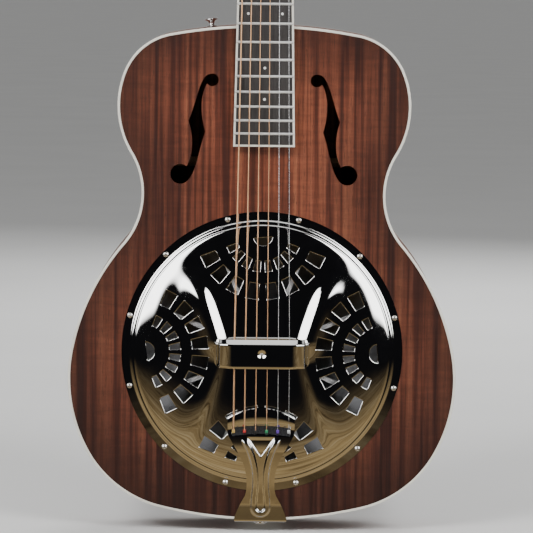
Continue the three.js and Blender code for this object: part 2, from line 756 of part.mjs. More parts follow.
// A strip with, for each of its three tuners, a window over the worm and two drilled lugs for its shaft.
function tunerPlate() {
  const [first, last] = [postPlaces[0] - 21, postPlaces[2] + 14];
  const strip = solid(box(-9.5, 9.5, first, last, PLATE_TOP - PLATE_THICK, PLATE_TOP));
  const lugs = postPlaces.flatMap((y) =>
    LUG_X.map((x) =>
      solid(box(x, x + LUG_THICK, y - WORM_DROP - 3, y - WORM_DROP + 3, GEAR_MIDDLE - 3.2, PLATE_TOP - 0.2)),
    ),
  );
  const shaftHoles = postPlaces.map((y) =>
    solid(bar(SHAFT_RADIUS + 0.15, -20, 20, 12).rotateY(Math.PI / 2).translate(0, y - WORM_DROP, GEAR_MIDDLE)),
  );
  const windows = postPlaces.map((y) =>
    solid(box(-5.8, 4.8, y - WORM_DROP - 3.4, y - WORM_DROP + 3.4, GEAR_TOP, PLATE_TOP + 1)),
  );
  const holes = postPlaces.map((y) => solid(bar(POST_RADIUS + GAP, -40, 10, 12).translate(0, y, 0)));
  return cut(join(strip, ...lugs), ...shaftHoles, ...windows, ...holes);
}

// A string post along Z, its foot turned down to carry the gear.
function post() {
  const crown = 19;
  const profile = [
    [0, GEAR_TOP - GEAR_THICK - 0.4],
    [2.3, GEAR_TOP - GEAR_THICK - 0.4],
    [2.3, GEAR_TOP + 0.2],
    [POST_RADIUS, GEAR_TOP + 0.2],
    [POST_RADIUS, 7],
    [POST_RADIUS - 0.5, 9],
    [POST_RADIUS - 0.5, 12],
    [POST_RADIUS, 14],
    [POST_RADIUS, crown - 0.7],
    [POST_RADIUS - 0.7, crown],
    [0, crown],
  ];
  const stringHole = solid(bar(0.9, -6, 6, 8).rotateX(Math.PI / 2).translate(0, 0, 10.5));
  return solid(turned(profile, 12)).subtract(stringHole);
}

// The post's gear. Its teeth lean by the worm's lead, and a gap between two teeth faces the worm.
function gear() {
  const shape = new THREE.Shape();
  const pitch = (2 * Math.PI) / GEAR_TEETH;
  const spots = [
    [-0.3, 5.05],
    [-0.13, 6.6],
    [0.13, 6.6],
    [0.3, 5.05],
  ];
  const points = [];
  for (let tooth = 0; tooth < GEAR_TEETH; tooth++) {
    for (const [share, radius] of spots) {
      const angle = -Math.PI / 2 + (tooth + 0.5 + share) * pitch;
      points.push(new THREE.Vector2(radius * Math.cos(angle), radius * Math.sin(angle)));
    }
  }
  shape.setFromPoints(points);
  shape.holes.push(new THREE.Path(new THREE.Path().absarc(0, 0, 2.5, 0, 2 * Math.PI).getPoints(12)));
  const made = slab(shape, GEAR_TOP - GEAR_THICK, GEAR_TOP);
  const leadPerMm = WORM_PITCH / (2 * Math.PI * WORM_RADIUS) / GEAR_RADIUS;
  const position = made.attributes.position;
  for (let k = 0; k < position.count; k++) {
    const spot = new THREE.Vector3().fromBufferAttribute(position, k);
    spot.applyAxisAngle(new THREE.Vector3(0, 0, 1), (spot.z - GEAR_MIDDLE) * leadPerMm);
    position.setXYZ(k, spot.x, spot.y, spot.z);
  }
  return made;
}

// The worm is a prism twisted about X, whose section has the thread's crest on one side. Its shaft goes
// through both lugs and on into the button.
function wormShaft() {
  const half = 4;
  const section = [
    [-34, 3.2],
    [0, 3.2],
    [34, 3.2],
    [70, 2.5],
    [107, 1.8],
    [143, 1.8],
    [180, 1.8],
    [217, 1.8],
    [253, 1.8],
    [290, 2.5],
  ];
  const steps = Math.ceil((8 * 2 * half) / WORM_PITCH);
  const rings = Array.from({ length: steps + 1 }, (_, k) => {
    const x = half * ((2 * k) / steps - 1);
    return section.map(([degrees, radius]) => {
      const angle = THREE.MathUtils.degToRad(degrees) + (2 * Math.PI * x) / WORM_PITCH;
      return new THREE.Vector3(x, radius * Math.cos(angle), radius * Math.sin(angle));
    });
  });
  const shaft = bar(SHAFT_RADIUS, LUG_X[0] - 0.8, SHAFT_END, 12).rotateY(Math.PI / 2);
  return join(solid(loft(rings)), solid(shaft));
}

// A button turned about X and flattened, with the blind hole that the shaft is pressed into.
function button() {
  const start = 19.5;
  const profile = [
    [0, start],
    [3.4, start],
    [3.9, start + 3],
    [8.6, start + 6],
    [9.6, start + 11],
    [8.2, start + 16],
    [4, start + 18.4],
    [0, start + 18.8],
  ];
  const body = turned(profile, 16).rotateY(Math.PI / 2).scale(1, 0.6, 1);
  const hole = bar(SHAFT_RADIUS + GAP, 0, SHAFT_END + GAP, 12).rotateY(Math.PI / 2);
  return solid(body).subtract(solid(hole));
}

// ---- Strings ------------------------------------------------------------------------------------------

// Order of the posts that the strings run to: bass side from the nut up, then treble side from the top down.
const postOf = (number) =>
  number < 3 ? { sign: -1, row: number } : { sign: 1, row: 5 - number };

// A straight-sided string through the points of its route, eight-sided.
function string(number) {
  const radius = STRING_RADII[number];
  const { sign, row } = postOf(number);
  const slotHeight = NUT_HEIGHT - 0.2 + radius + GAP;
  const route = [
    new THREE.Vector3(stringX(TAIL_SPREAD, number), ANCHOR_Y + 3, FRONT + ANCHOR_HEIGHT + radius - 0.5),
    new THREE.Vector3(stringX(SADDLE_SPREAD, number), SADDLE_Y - 2, FRONT + STRING_HEIGHT - 0.1),
    new THREE.Vector3(stringX(SADDLE_SPREAD, number), SADDLE_Y + 2, FRONT + STRING_HEIGHT),
    fromNeck(stringX(NUT_SPREAD, number), SCALE / 2, slotHeight + 0.1),
    fromNeck(stringX(NUT_SPREAD, number), SCALE / 2 + 2.6, slotHeight - 0.1),
    fromHead(sign * (POST_X - POST_RADIUS - radius - GAP), postPlaces[row] - 1, 8.5),
  ];
  const rings = route.map((spot) =>
    Array.from({ length: 8 }, (_, k) => {
      const angle = (k * Math.PI) / 4;
      return new THREE.Vector3(radius * Math.cos(angle), 0, -radius * Math.sin(angle)).add(spot);
    }),
  );
  return loft(rings);
}

// ---- Assembly -----------------------------------------------------------------------------------------

place(guitar, "soundboard", "mahogany", top());
place(guitar, "back", "mahogany", back());
place(guitar, "side_bass", "mahogany", side(-1));
place(guitar, "side_treble", "mahogany", side(1));
place(guitar, "binding_front", "cream", ring(0, BINDING_WIDE, FRONT - BINDING_DEEP, FRONT));
place(guitar, "binding_back", "cream", ring(0, BINDING_WIDE, BACK, BACK + BINDING_DEEP));
place(guitar, "lining_front", "spruce", lining(...TOP_LINING));
place(guitar, "lining_back", "spruce", lining(...BACK_LINING));
place(guitar, "neck_block", "spruce", neckBlock());
place(guitar, "tail_block", "spruce", tailBlock());
place(guitar, "back_brace_upper", "spruce", backBrace(345, 9));
place(guitar, "back_brace_lower", "spruce", backBrace(130, 9));

place(guitar, "soundwell", "ply", soundwell());
place(guitar, "cone", "aluminium", cone());
place(guitar, "spider", "aluminium", spider());
place(guitar, "saddle", "maple", saddle());
place(guitar, "tension_screw", "steel", tensionScrew());
place(guitar, "coverplate", "chrome", coverplate());
place(guitar, "palm_rest", "chrome", palmRest());
place(guitar, "tailpiece", "chrome", tailpiece());

const tailButton = place(guitar, "strap_button_tail", "chrome", strapButton(20));
tailButton.rotation.x = Math.PI / 2;
tailButton.position.y = -GAP - TAILPIECE_SHEET;
place(guitar, "strap_button_shoulder", "chrome", atShoulder(strapButton(20)));

place(neckFrame, "neck", "mahogany", neck());
place(neckFrame, "truss_rod", "steel", trussRod());
place(neckFrame, "fingerboard", "rosewood", fingerboard());
place(neckFrame, "fingerboard_binding", "cream", boardBinding());
place(neckFrame, "nut", "bone", nut());
place(headFrame, "headplate", "rosewood", headplate());

const STRING_NAMES = ["e_low", "a", "d", "g", "b", "e_high"];
for (const sign of [-1, 1]) {
  const sideFrame = new THREE.Group();
  sideFrame.scale.x = sign;
  headFrame.add(sideFrame);
  const line = new THREE.Group();
  line.position.x = POST_X;
  sideFrame.add(line);
  place(line, sign < 0 ? "tuner_plate_bass" : "tuner_plate_treble", "steel", tunerPlate());
}
STRING_NAMES.forEach((name, number) => {
  const { sign, row } = postOf(number);
  const tuner = new THREE.Group();
  tuner.scale.x = sign;
  tuner.position.set(sign * POST_X, postPlaces[row], 0);
  headFrame.add(tuner);
  place(tuner, `post_${name}`, "steel", post());
  place(tuner, `gear_${name}`, "brass", gear());
  const key = new THREE.Group();
  key.position.set(0, -WORM_DROP, GEAR_MIDDLE);
  tuner.add(key);
  place(key, `worm_shaft_${name}`, "steel", wormShaft());
  place(key, `button_${name}`, "cream", button());
  place(guitar, `string_${name}`, number < 4 ? "bronze" : "steel", string(number));
});

guitar.rotation.x = Math.PI / 2;

export default guitar;
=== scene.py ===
# A resonator guitar in its studio. Shapes are worked out in millimetres, with the guitar lying on its back:
# X to the treble side, Y up the neck and Z out of the front. The matrices below stand it up.
import math

import bmesh
import bpy
from mathutils import Matrix, Vector


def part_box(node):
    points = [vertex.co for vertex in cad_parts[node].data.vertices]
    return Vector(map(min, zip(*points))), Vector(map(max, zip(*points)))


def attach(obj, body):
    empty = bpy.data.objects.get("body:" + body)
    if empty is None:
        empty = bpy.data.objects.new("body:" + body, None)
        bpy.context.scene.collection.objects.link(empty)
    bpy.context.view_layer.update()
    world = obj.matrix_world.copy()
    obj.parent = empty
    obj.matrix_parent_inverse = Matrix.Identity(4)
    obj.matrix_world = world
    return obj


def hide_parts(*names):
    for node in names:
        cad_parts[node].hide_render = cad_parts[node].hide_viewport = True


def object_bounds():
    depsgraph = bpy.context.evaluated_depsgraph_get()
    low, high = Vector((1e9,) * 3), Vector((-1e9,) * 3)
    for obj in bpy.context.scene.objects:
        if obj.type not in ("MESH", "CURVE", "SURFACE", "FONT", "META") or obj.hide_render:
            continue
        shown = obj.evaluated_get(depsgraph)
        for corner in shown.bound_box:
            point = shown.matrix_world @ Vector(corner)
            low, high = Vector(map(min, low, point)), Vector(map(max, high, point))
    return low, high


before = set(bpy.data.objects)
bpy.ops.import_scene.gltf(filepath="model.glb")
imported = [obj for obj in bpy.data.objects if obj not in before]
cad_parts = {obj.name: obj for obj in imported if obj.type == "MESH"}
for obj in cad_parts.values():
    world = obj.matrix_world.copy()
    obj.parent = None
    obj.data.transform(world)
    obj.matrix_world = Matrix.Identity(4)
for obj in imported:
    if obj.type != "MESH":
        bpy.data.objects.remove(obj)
cad_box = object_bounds()

# ---- Dimensions, in millimetres -----------------------------------------------------------------------

MM = 0.001
GAP = 0.25  # between neighbours in the frame
FIT = 0.02  # between a panel and what borders it
DEPTH = 90
FRONT = DEPTH / 2
BACK = -DEPTH / 2
PLATE = 3
SIDE_WALL = 2.5
BINDING_WIDE = 2.5
BINDING_DEEP = 5
SCALE = 635
TWELFTH_Y = 483
SADDLE_Y = TWELFTH_Y - SCALE / 2
STRING_HEIGHT = 20
STRING_RADII = (0.71, 0.57, 0.45, 0.33, 0.22, 0.17)
NUT_SPREAD = 37.5
SADDLE_SPREAD = 53.2
TAIL_SPREAD = 53.6
ANCHOR_Y = 88
ANCHOR_HEIGHT = 13.6
WELL_RADIUS = 124.5
COVER_RADIUS = 136.3
DOME_RADIUS = 128.4
DOME_FOOT = 1.35  # height of the dome's edge above the front
DOME_RISE = 9.0
FLANGE_SLOPE = 0.06
RIDGE_X = 39  # of a ridge's crest, which swings outwards away from the saddle
RIDGE_SPLAY = 0.34
RIDGE_INNER = 8.0  # half widths of a ridge's two flanks
RIDGE_OUTER = 15.0
GROOVE_RADIUS = 124.2
COVER_SCREWS = 12
SCREW_CIRCLE = 132.8
FAN_CENTRE = 116
FAN_MOON = 9.7
FAN_MOON_X = -113  # flat side of the half-moon
FAN_SLOTS = 8
FAN_PITCH = 18.2  # degrees from slot to slot
FAN_SPREAD = 5.9  # half of a slot's own angle
FAN_ROWS = ((26.5, 38), (48.5, 65))
LIP_RADIUS = 0.65
BOARD_THICK = 6
BOARD_NUT_WIDTH = 43
BOARD_TWELFTH_WIDTH = 55
BOARD_OVERHANG = 118.2
BOARD_BINDING = 2
BOARD_LIFT = 0.9
NUT_THICK = 5.5
NUT_HEIGHT = 7.4
HEAD_LENGTH = 172
HEADPLATE = 1.5
HEAD_THICK = 14.5
NECK_TILT = -1.5
HEAD_TILT = -14
POST_X = 20.5
POST_ROWS = (46, 85, 124)
POST_WAIST = 2.62  # radius at which a string lies on its post
COIL_HEIGHT = 8.5
FRETS = 19
DOTS = (3, 5, 7, 9, 12, 15, 17)
SHOULDER_X = -52
STRING_NAMES = ("e_low", "a", "d", "g", "b", "e_high")
BALL_COLORS = (
    (0.55, 0.36, 0.08),
    (0.50, 0.02, 0.02),
    (0.02, 0.02, 0.02),
    (0.02, 0.25, 0.10),
    (0.12, 0.05, 0.35),
    (0.55, 0.55, 0.55),
)
BODY_ARCS = (
    (424, 13.3),
    (112.5, 48.2),
    (148, 39.6),
    (228, 29.3),
    (74.3, -71.6),
    (89.7, 52.1),
    (60.3, 58.4),
)


def at(x, y, z):
    return Matrix.Translation((x, y, z))


def turn(degrees, axis):
    return Matrix.Rotation(math.radians(degrees), 4, axis)


STAND = turn(90, "X") @ Matrix.Scale(MM, 4)
OVER_SADDLE = STAND @ at(0, SADDLE_Y, FRONT)
NECK = STAND @ at(0, TWELFTH_Y, FRONT + BOARD_LIFT) @ turn(NECK_TILT, "X")
TO_HEAD = at(0, SCALE / 2 + NUT_THICK + GAP, 0) @ turn(HEAD_TILT, "X")
HEAD = NECK @ TO_HEAD
POSTS = [(sign * POST_X, row) for sign in (-1, 1) for row in POST_ROWS]

# ---- Meshes -------------------------------------------------------------------------------------------


def smooth_step(low, high, value):
    t = min(1, max(0, (value - low) / (high - low)))
    return t * t * (3 - 2 * t)


def soft_bend(value, start, soft):
    """0 before start, then rising 1 for 1."""
    ratio = (value - start) / soft
    return value - start if ratio > 30 else soft * math.log1p(math.exp(ratio))


def piece(name, mesh, place, material, body="guitar", sharp=32, replaces=()):
    """A finished piece: its mesh put in its place, shaded, and riding on its body."""
    mesh.transform(place)
    mesh.shade_smooth()
    mesh.set_sharp_from_angle(angle=math.radians(sharp))
    mesh.materials.clear()
    mesh.materials.append(material)
    made = bpy.data.objects.new(name, mesh)
    bpy.context.scene.collection.objects.link(made)
    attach(made, body)
    if replaces:
        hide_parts(*replaces)
    return made


def as_is(bm):
    """The mesh of a bmesh, which is used up."""
    mesh = bpy.data.meshes.new("part")
    bm.to_mesh(mesh)
    bm.free()
    return mesh


def mesh_of(bm, weld=0.001):
    """The same with its seams closed and its faces outwards."""
    bmesh.ops.remove_doubles(bm, verts=bm.verts, dist=weld)
    bmesh.ops.recalc_face_normals(bm, faces=bm.faces)
    return as_is(bm)


def joined(meshes):
    """One mesh of several that don't touch."""
    bm = bmesh.new()
    for mesh in meshes:
        bm.from_mesh(mesh)
        bpy.data.meshes.remove(mesh)
    return as_is(bm)


def moved(mesh, *matrices):
    for matrix in matrices:
        mesh.transform(matrix)
    return mesh


def flat_solid(loops, low, high, bevel=0.0):
    """A plate with the given outline and holes, its edges rounded by bevel."""
    curve = bpy.data.curves.new("plan", "CURVE")
    curve.dimensions = "2D"
    curve.fill_mode = "BOTH"
    for loop in loops:
        spline = curve.splines.new("POLY")
        spline.points.add(len(loop) - 1)
        for point, (x, y) in zip(spline.points, loop):
            point.co = (x, y, 0, 1)
        spline.use_cyclic_u = True
    curve.extrude = (high - low) / 2 - bevel
    curve.bevel_depth = bevel
    curve.bevel_resolution = 2
    curve.offset = -bevel
    holder = bpy.data.objects.new("plan", curve)
    bpy.context.scene.collection.objects.link(holder)
    graph = bpy.context.evaluated_depsgraph_get()
    made = bpy.data.meshes.new_from_object(holder.evaluated_get(graph))
    bpy.data.objects.remove(holder)
    bm = bmesh.new()
    bm.from_mesh(made)
    bpy.data.meshes.remove(made)
    bmesh.ops.translate(bm, verts=bm.verts, vec=(0, 0, (low + high) / 2))
    return mesh_of(bm)


def combined(base, tool, operation):
    """The boolean of two meshes, which are used up."""
    scene = bpy.context.scene.collection
    first = bpy.data.objects.new("base", base)
    second = bpy.data.objects.new("tool", tool)
    scene.objects.link(first)
    scene.objects.link(second)
    modifier = first.modifiers.new("cut", "BOOLEAN")
    modifier.object = second
    modifier.operation = operation
    modifier.solver = "EXACT"
    graph = bpy.context.evaluated_depsgraph_get()
    made = bpy.data.meshes.new_from_object(first.evaluated_get(graph))
    bpy.data.objects.remove(first)
    bpy.data.objects.remove(second)
    return made


def turned(profile, segments=64):
    """A solid of revolution about Z from [radius, height] points that start and end on the axis."""
    bm = bmesh.new()
    verts = [bm.verts.new((radius, 0, height)) for radius, height in profile]
    edges = [bm.edges.new(pair) for pair in zip(verts, verts[1:])]
    bmesh.ops.spin(
        bm,
        geom=verts + edges,
        cent=(0, 0, 0),
        axis=(0, 0, 1),
        angle=2 * math.pi,
        steps=segments,
        use_merge=True,
    )
    return mesh_of(bm)


def ring_turned(profile, segments=64):
    """The same for a profile that closes on itself away from the axis."""
    return turned([*profile, profile[0]], segments)


def rounded_box(x0, x1, y0, y1, z0, z1, bevel=0.4, segments=2):
    bm = bmesh.new()
    bmesh.ops.create_cube(bm, size=1)
    size = (x1 - x0, y1 - y0, z1 - z0)
    bmesh.ops.scale(bm, verts=bm.verts, vec=size)
    centre = ((x0 + x1) / 2, (y0 + y1) / 2, (z0 + z1) / 2)
    bmesh.ops.translate(bm, verts=bm.verts, vec=centre)
    if bevel:
        bmesh.ops.bevel(
            bm,
            geom=bm.edges[:],
            offset=bevel,
            offset_type="OFFSET",
            affect="EDGES",
            segments=segments,
            profile=0.5,
            material=-1,
        )
    return mesh_of(bm)


def lofted(rings, closed=False):
    """A skin over rings of points, which ends in two flat faces unless it closes on itself."""
    bm = bmesh.new()
    loops = [[bm.verts.new(point) for point in ring] for ring in rings]
    bands = [[bm.edges.new((loop[j - 1], loop[j])) for j in range(len(loop))] for loop in loops]
    for k in range(0 if closed else 1, len(bands)):
        bmesh.ops.bridge_loops(bm, edges=bands[k - 1] + bands[k])
    if not closed:
        bm.faces.new(loops[0])
        bm.faces.new(loops[-1])
    return mesh_of(bm)


def round_section(spot, along, radius, sides):
    """A circle of points about spot, square to along."""
    facing = along.normalized().to_track_quat("Z", "Y")
    angles = [2 * math.pi * j / sides for j in range(sides)]
    return [spot + facing @ Vector((-radius * math.sin(a), radius * math.cos(a), 0)) for a in angles]


def rod(points, radius, sides=12, taper=None):
    """A round rod along points, closed at both ends. taper gives a factor on the radius at each point."""
    spots = [Vector(point) for point in points]
    last = len(spots) - 1
    rings = []
    for k, spot in enumerate(spots):
        along = spots[min(k + 1, last)] - spots[max(k - 1, 0)]
        rings.append(round_section(spot, along, radius * (taper[k] if taper else 1), sides))
    return lofted(rings)


def hoop(points, radius, sides):
    """A round wire bent into a closed loop through points."""
    near = zip(points[-1:] + points[:-1], points, points[1:] + points[:1])
    rings = [round_section(spot, after - before, radius, sides) for before, spot, after in near]
    return lofted(rings, closed=True)


# ---- Outlines -----------------------------------------------------------------------------------------


def half_outline(inset, step=1.5):
    """Treble half of the body's outline from the tail to the neck, moved in by inset."""
    points = [(0.0, inset)]
    heading = 0.0

    def arc(radius, degrees):
        nonlocal heading
        side = math.copysign(1, degrees)
        true_radius = radius - side * inset
        x, y = points[-1]
        centre_x = x - math.sin(heading) * side * true_radius
        centre_y = y + math.cos(heading) * side * true_radius
        steps = max(2, math.ceil(abs(degrees) / step))
        for k in range(1, steps + 1):
            now = heading + math.radians(degrees) * k / steps
            px = centre_x + math.sin(now) * side * true_radius
            py = centre_y - math.cos(now) * side * true_radius
            points.append((px, py))
        heading += math.radians(degrees)

    for radius, degrees in BODY_ARCS:
        arc(radius, degrees)
    left = 180 - sum(degrees for _, degrees in BODY_ARCS)
    arc(points[-1][0] / math.sin(math.radians(left)) + inset, left)
    points[-1] = (0.0, points[-1][1])
    return points


def body_outline(inset, step=1.5):
    treble = half_outline(inset, step)
    return treble + [(-x, y) for x, y in treble[-2:0:-1]]


def both_halves(half):
    """A whole outline from its treble half, which ends on the middle line."""
    return half + [(-x, y) for x, y in reversed(half[:-1])]


def weighted(weights, points):
    return tuple(sum(w * p[axis] for w, p in zip(weights, points)) for axis in (0, 1))


def bezier(p0, p1, p2, p3, steps=10):
    """Points of a cubic curve, without its first point."""
    made = []
    for k in range(1, steps + 1):
        t = k / steps
        weights = ((1 - t) ** 3, 3 * t * (1 - t) ** 2, 3 * t * t * (1 - t), t**3)
        made.append(weighted(weights, (p0, p1, p2, p3)))
    return made


def arc_points(centre, radius, start, end, steps=24):
    """Points of an arc, without its first point."""
    made = []
    for k in range(1, steps + 1):
        angle = math.radians(start + (end - start) * k / steps)
        made.append((centre[0] + radius * math.cos(angle), centre[1] + radius * math.sin(angle)))
    return made


def circle(x, y, radius, steps=48):
    return arc_points((x, y), radius, 0, 360, steps)


def sound_hole(side):
    upper, upper_radius = (50.4, 428.5), 6.1
    lower, lower_radius = (80.7, 337.5), 9.6
    outer_point = (73.2, 388.3)
    inner_point = (56.8, 378.7)

    def on(centre, radius, degrees):
        return arc_points(centre, radius, degrees, degrees, 1)[0]

    start = on(upper, upper_radius, 78)
    outer_end = on(lower, lower_radius, 130)
    inner_start = on(lower, lower_radius, -114)
    inner_end = on(upper, upper_radius, -35)
    points = [start]
    points += bezier(start, (62.3, 434.5), (65, 408), outer_point)
    points += bezier(outer_point, (69, 379), (66.8, 358), outer_end)
    points += arc_points(lower, lower_radius, 130, -114)
    points += bezier(inner_start, (65.5, 333.5), (63.5, 361), inner_point)
    points += bezier(inner_point, (61, 392), (63.2, 412), inner_end)
    points += arc_points(upper, upper_radius, -35, -282)[:-1]
    return [(side * x, y) for x, y in points]


# ---- Materials ----------------------------------------------------------------------------------------


class Nodes:
    """A node tree. A call of node() adds one, sets its values and links what is a socket."""

    def __init__(self, tree, place=None):
        self.tree = tree
        self.place = place

    def node(self, kind, inputs=None, **settings):
        made = self.tree.nodes.new(kind)
        for key, value in settings.items():
            setattr(made, key, value)
        self.fill(made, inputs or {})
        return made

    def fill(self, made, inputs):
        for key, value in inputs.items():
            socket = made.inputs[key]
            if isinstance(value, bpy.types.NodeSocket):
                self.tree.links.new(value, socket)
            else:
                socket.default_value = value

    def math(self, operation, *values):
        return self.node("ShaderNodeMath", dict(enumerate(values)), operation=operation).outputs[0]

    def scaled(self, size):
        return self.node("ShaderNodeMapping", {"Vector": self.place, "Scale": size}).outputs[0]

    def noise(self, size, detail=3.0, roughness=0.5, distortion=0.0, vector=None):
        values = {
            "Vector": vector or self.scaled(size),
            "Scale": 1.0,
            "Detail": detail,
            "Roughness": roughness,
            "Distortion": distortion,
        }
        return self.node("ShaderNodeTexNoise", values).outputs["Fac"]

    def ramp(self, value, *stops):
        made = self.node("ShaderNodeValToRGB", {"Fac": value})
        elements = made.color_ramp.elements
        while len(elements) < len(stops):
            elements.new(0.5)
        for element, (position, color) in zip(elements, stops):
            element.position = position
            element.color = color if len(color) == 4 else (*color, 1)
        return made.outputs["Color"]

    def grey(self, value, low, high, start=0.0, end=1.0):
        values = {"Value": value, "From Min": start, "From Max": end, "To Min": low, "To Max": high}
        return self.node("ShaderNodeMapRange", values).outputs["Result"]

    def fade(self, value, low, high):
        """0 at low and 1 at high, eased at both."""
        inputs = {0: value, 1: low, 2: high}
        return self.node("ShaderNodeMapRange", inputs, interpolation_type="SMOOTHSTEP").outputs[0]

    def vector(self, operation, inputs):
        return self.node("ShaderNodeVectorMath", inputs, operation=operation).outputs[0]

    def mix(self, factor, a, b, blend="MIX"):
        made = self.node("ShaderNodeMix", data_type="RGBA", blend_type=blend)
        self.fill(made, {0: factor, 6: a, 7: b})
        return made.outputs[2]

    def bump(self, height, strength, distance):
        values = {"Height": height, "Strength": strength, "Distance": distance}
        return self.node("ShaderNodeBump", values).outputs["Normal"]

    def attribute(self, name):
        return self.node("ShaderNodeAttribute", attribute_name=name).outputs["Fac"]

    def shade(self, color, factor):
        """A colour made lighter or darker by a factor."""
        grey = self.node("ShaderNodeCombineColor", {0: factor, 1: factor, 2: factor}).outputs[0]
        return self.mix(1.0, color, grey, "MULTIPLY")

    def effect(self, group, **inputs):
        made = self.node("ShaderNodeGroup", node_tree=group)
        self.fill(made, {"Vector": self.place, **inputs})
        return made.outputs


class Finish(Nodes):
    """A material: its nodes, and the shader that they feed."""

    def __init__(self, name):
        self.material = bpy.data.materials.new(name)
        self.material.use_nodes = True
        super().__init__(self.material.node_tree)
        self.shader = self.tree.nodes["Principled BSDF"]
        self.place = self.node("ShaderNodeTexCoord").outputs["Object"]

    def set(self, **inputs):
        self.fill(self.shader, {key.replace("_", " "): value for key, value in inputs.items()})
        return self.material


def effect_group(name, inputs, outputs):
    """An empty node group with its sockets. Returns its nodes, its inputs and its output node."""
    tree = bpy.data.node_groups.new(name, "ShaderNodeTree")
    tree.interface.new_socket(name="Vector", in_out="INPUT", socket_type="NodeSocketVector")
    for socket, value in inputs.items():
        kind = "NodeSocketVector" if isinstance(value, tuple) else "NodeSocketFloat"
        made = tree.interface.new_socket(name=socket, in_out="INPUT", socket_type=kind)
        made.default_value = value
    for socket in outputs:
        tree.interface.new_socket(name=socket, in_out="OUTPUT", socket_type="NodeSocketFloat")
    nodes = Nodes(tree)
    given = nodes.node("NodeGroupInput").outputs
    nodes.place = given["Vector"]
    return nodes, given, nodes.node("NodeGroupOutput")


def wood_grain():
    """Grain along Z: dark and light ribbons, fine streaks and open pores. Stretch scales it by axis."""
    layers = ("Ribbon", "Streak", "Pores")
    nodes, given, out = effect_group("wood grain", {"Stretch": (1.0, 1.0, 1.0)}, layers)
    sized = nodes.vector("MULTIPLY", {0: nodes.place, 1: given["Stretch"]})

    def layer(size, detail, roughness, distortion=0.0):
        stretched = nodes.vector("MULTIPLY", {0: sized, 1: size})
        return nodes.noise(None, detail, roughness, distortion, vector=stretched)

    ribbon = layer((150, 90, 2.6), 3, 0.62, 0.2)
    broad = layer((30, 22, 1.3), 2, 0.5)
    both = nodes.math("ADD", nodes.math("MULTIPLY", ribbon, 0.75), nodes.math("MULTIPLY", broad, 0.25))
    streak = layer((520, 400, 14), 4, 0.65)
    pores = nodes.grey(layer((1500, 1500, 110), 2, 0.6), 0, 1, 0.58, 0.66)
    nodes.fill(out, {"Ribbon": both, "Streak": streak, "Pores": pores})
    return nodes.tree


def handling_wear():
    """Marks of use: broad clouds, and scuffs finer by Fineness."""
    nodes, given, out = effect_group("handling wear", {"Fineness": 1.0}, ("Cloud", "Scuff", "Smear"))

    def layer(size, detail, roughness, distortion=0.0):
        amount = nodes.math("MULTIPLY", given["Fineness"], size)
        sized = nodes.vector("SCALE", {0: nodes.place, "Scale": amount})
        return nodes.noise(None, detail, roughness, distortion, vector=sized)

    layers = {"Cloud": layer(30, 4, 0.6), "Scuff": layer(900, 4, 0.7), "Smear": layer(75, 5, 0.65, 0.8)}
    nodes.fill(out, layers)
    return nodes.tree


GRAIN = wood_grain()
WEAR = handling_wear()


def sapele(name, burst=False, stretch=(1.0, 1.0, 1.0)):
    """Ribbon-striped wood under a satin lacquer. burst darkens it by the mesh's own edge mask."""
    f = Finish(name)
    grain = f.effect(GRAIN, Stretch=stretch)
    wood = f.ramp(
        grain["Ribbon"],
        (0.40, (0.042, 0.011, 0.006)),
        (0.46, (0.080, 0.019, 0.009)),
        (0.53, (0.165, 0.044, 0.020)),
        (0.64, (0.245, 0.078, 0.036)),
    )
    shimmer = f.noise((30, 30, 170), 3, 0.6, 0.6)
    wood = f.shade(wood, f.grey(shimmer, 0.8, 1.18, 0.3, 0.7))
    wood = f.shade(wood, f.grey(grain["Streak"], 0.82, 1.15, 0.3, 0.7))
    wood = f.mix(f.math("MULTIPLY", grain["Pores"], 0.5), wood, (0.03, 0.012, 0.008, 1))
    if burst:
        wood = f.mix(f.math("MULTIPLY", f.attribute("burst"), 0.88), wood, (0.011, 0.004, 0.003, 1))
    height = f.math("SUBTRACT", grain["Streak"], f.math("MULTIPLY", grain["Pores"], 0.6))
    return f.set(
        Base_Color=wood,
        Roughness=f.grey(grain["Streak"], 0.34, 0.46, 0.3, 0.7),
        Normal=f.bump(height, 0.12, 0.0002),
        Specular_IOR_Level=0.28,
        Coat_Weight=0.05,
        Coat_Roughness=0.3,
    )


def bare_wood(name, light, dark, stretch=(2.0, 2.0, 1.0)):
    f = Finish(name)
    grain = f.effect(GRAIN, Stretch=stretch)
    ribbons = f.ramp(grain["Ribbon"], (0.38, dark), (0.62, light))
    wood = f.shade(ribbons, f.grey(grain["Streak"], 0.8, 1.1, 0.3, 0.7))
    rough = f.grey(grain["Streak"], 0.55, 0.75)
    return f.set(Base_Color=wood, Roughness=rough, Normal=f.bump(grain["Streak"], 0.2, 0.0002))


def chrome():
    f = Finish("mirror chrome")
    wear = f.effect(WEAR)
    smear = f.math("MULTIPLY", f.grey(wear["Smear"], 0.0, 1.0, 0.5, 0.8), 0.05)
    rough = f.math("ADD", smear, f.grey(wear["Cloud"], 0.012, 0.045))
    tint = f.ramp(wear["Cloud"], (0.3, (0.70, 0.70, 0.69)), (0.7, (0.78, 0.775, 0.76)))
    return f.set(Base_Color=tint, Metallic=1.0, Roughness=rough)


def metal(name, color, rough, fineness=1.0, metallic=0.8):
    """A plated or plain metal, darker in clouds and roughened by scuffs."""
    f = Finish(name)
    wear = f.effect(WEAR, Fineness=fineness)
    tint = f.ramp(wear["Cloud"], (0.3, tuple(0.82 * c for c in color)), (0.7, color))
    roughness = f.grey(wear["Scuff"], rough - 0.06, rough + 0.1, 0.3, 0.7)
    bump = f.bump(wear["Scuff"], 0.03, 0.0001)
    return f.set(Base_Color=tint, Metallic=metallic, Roughness=roughness, Normal=bump)


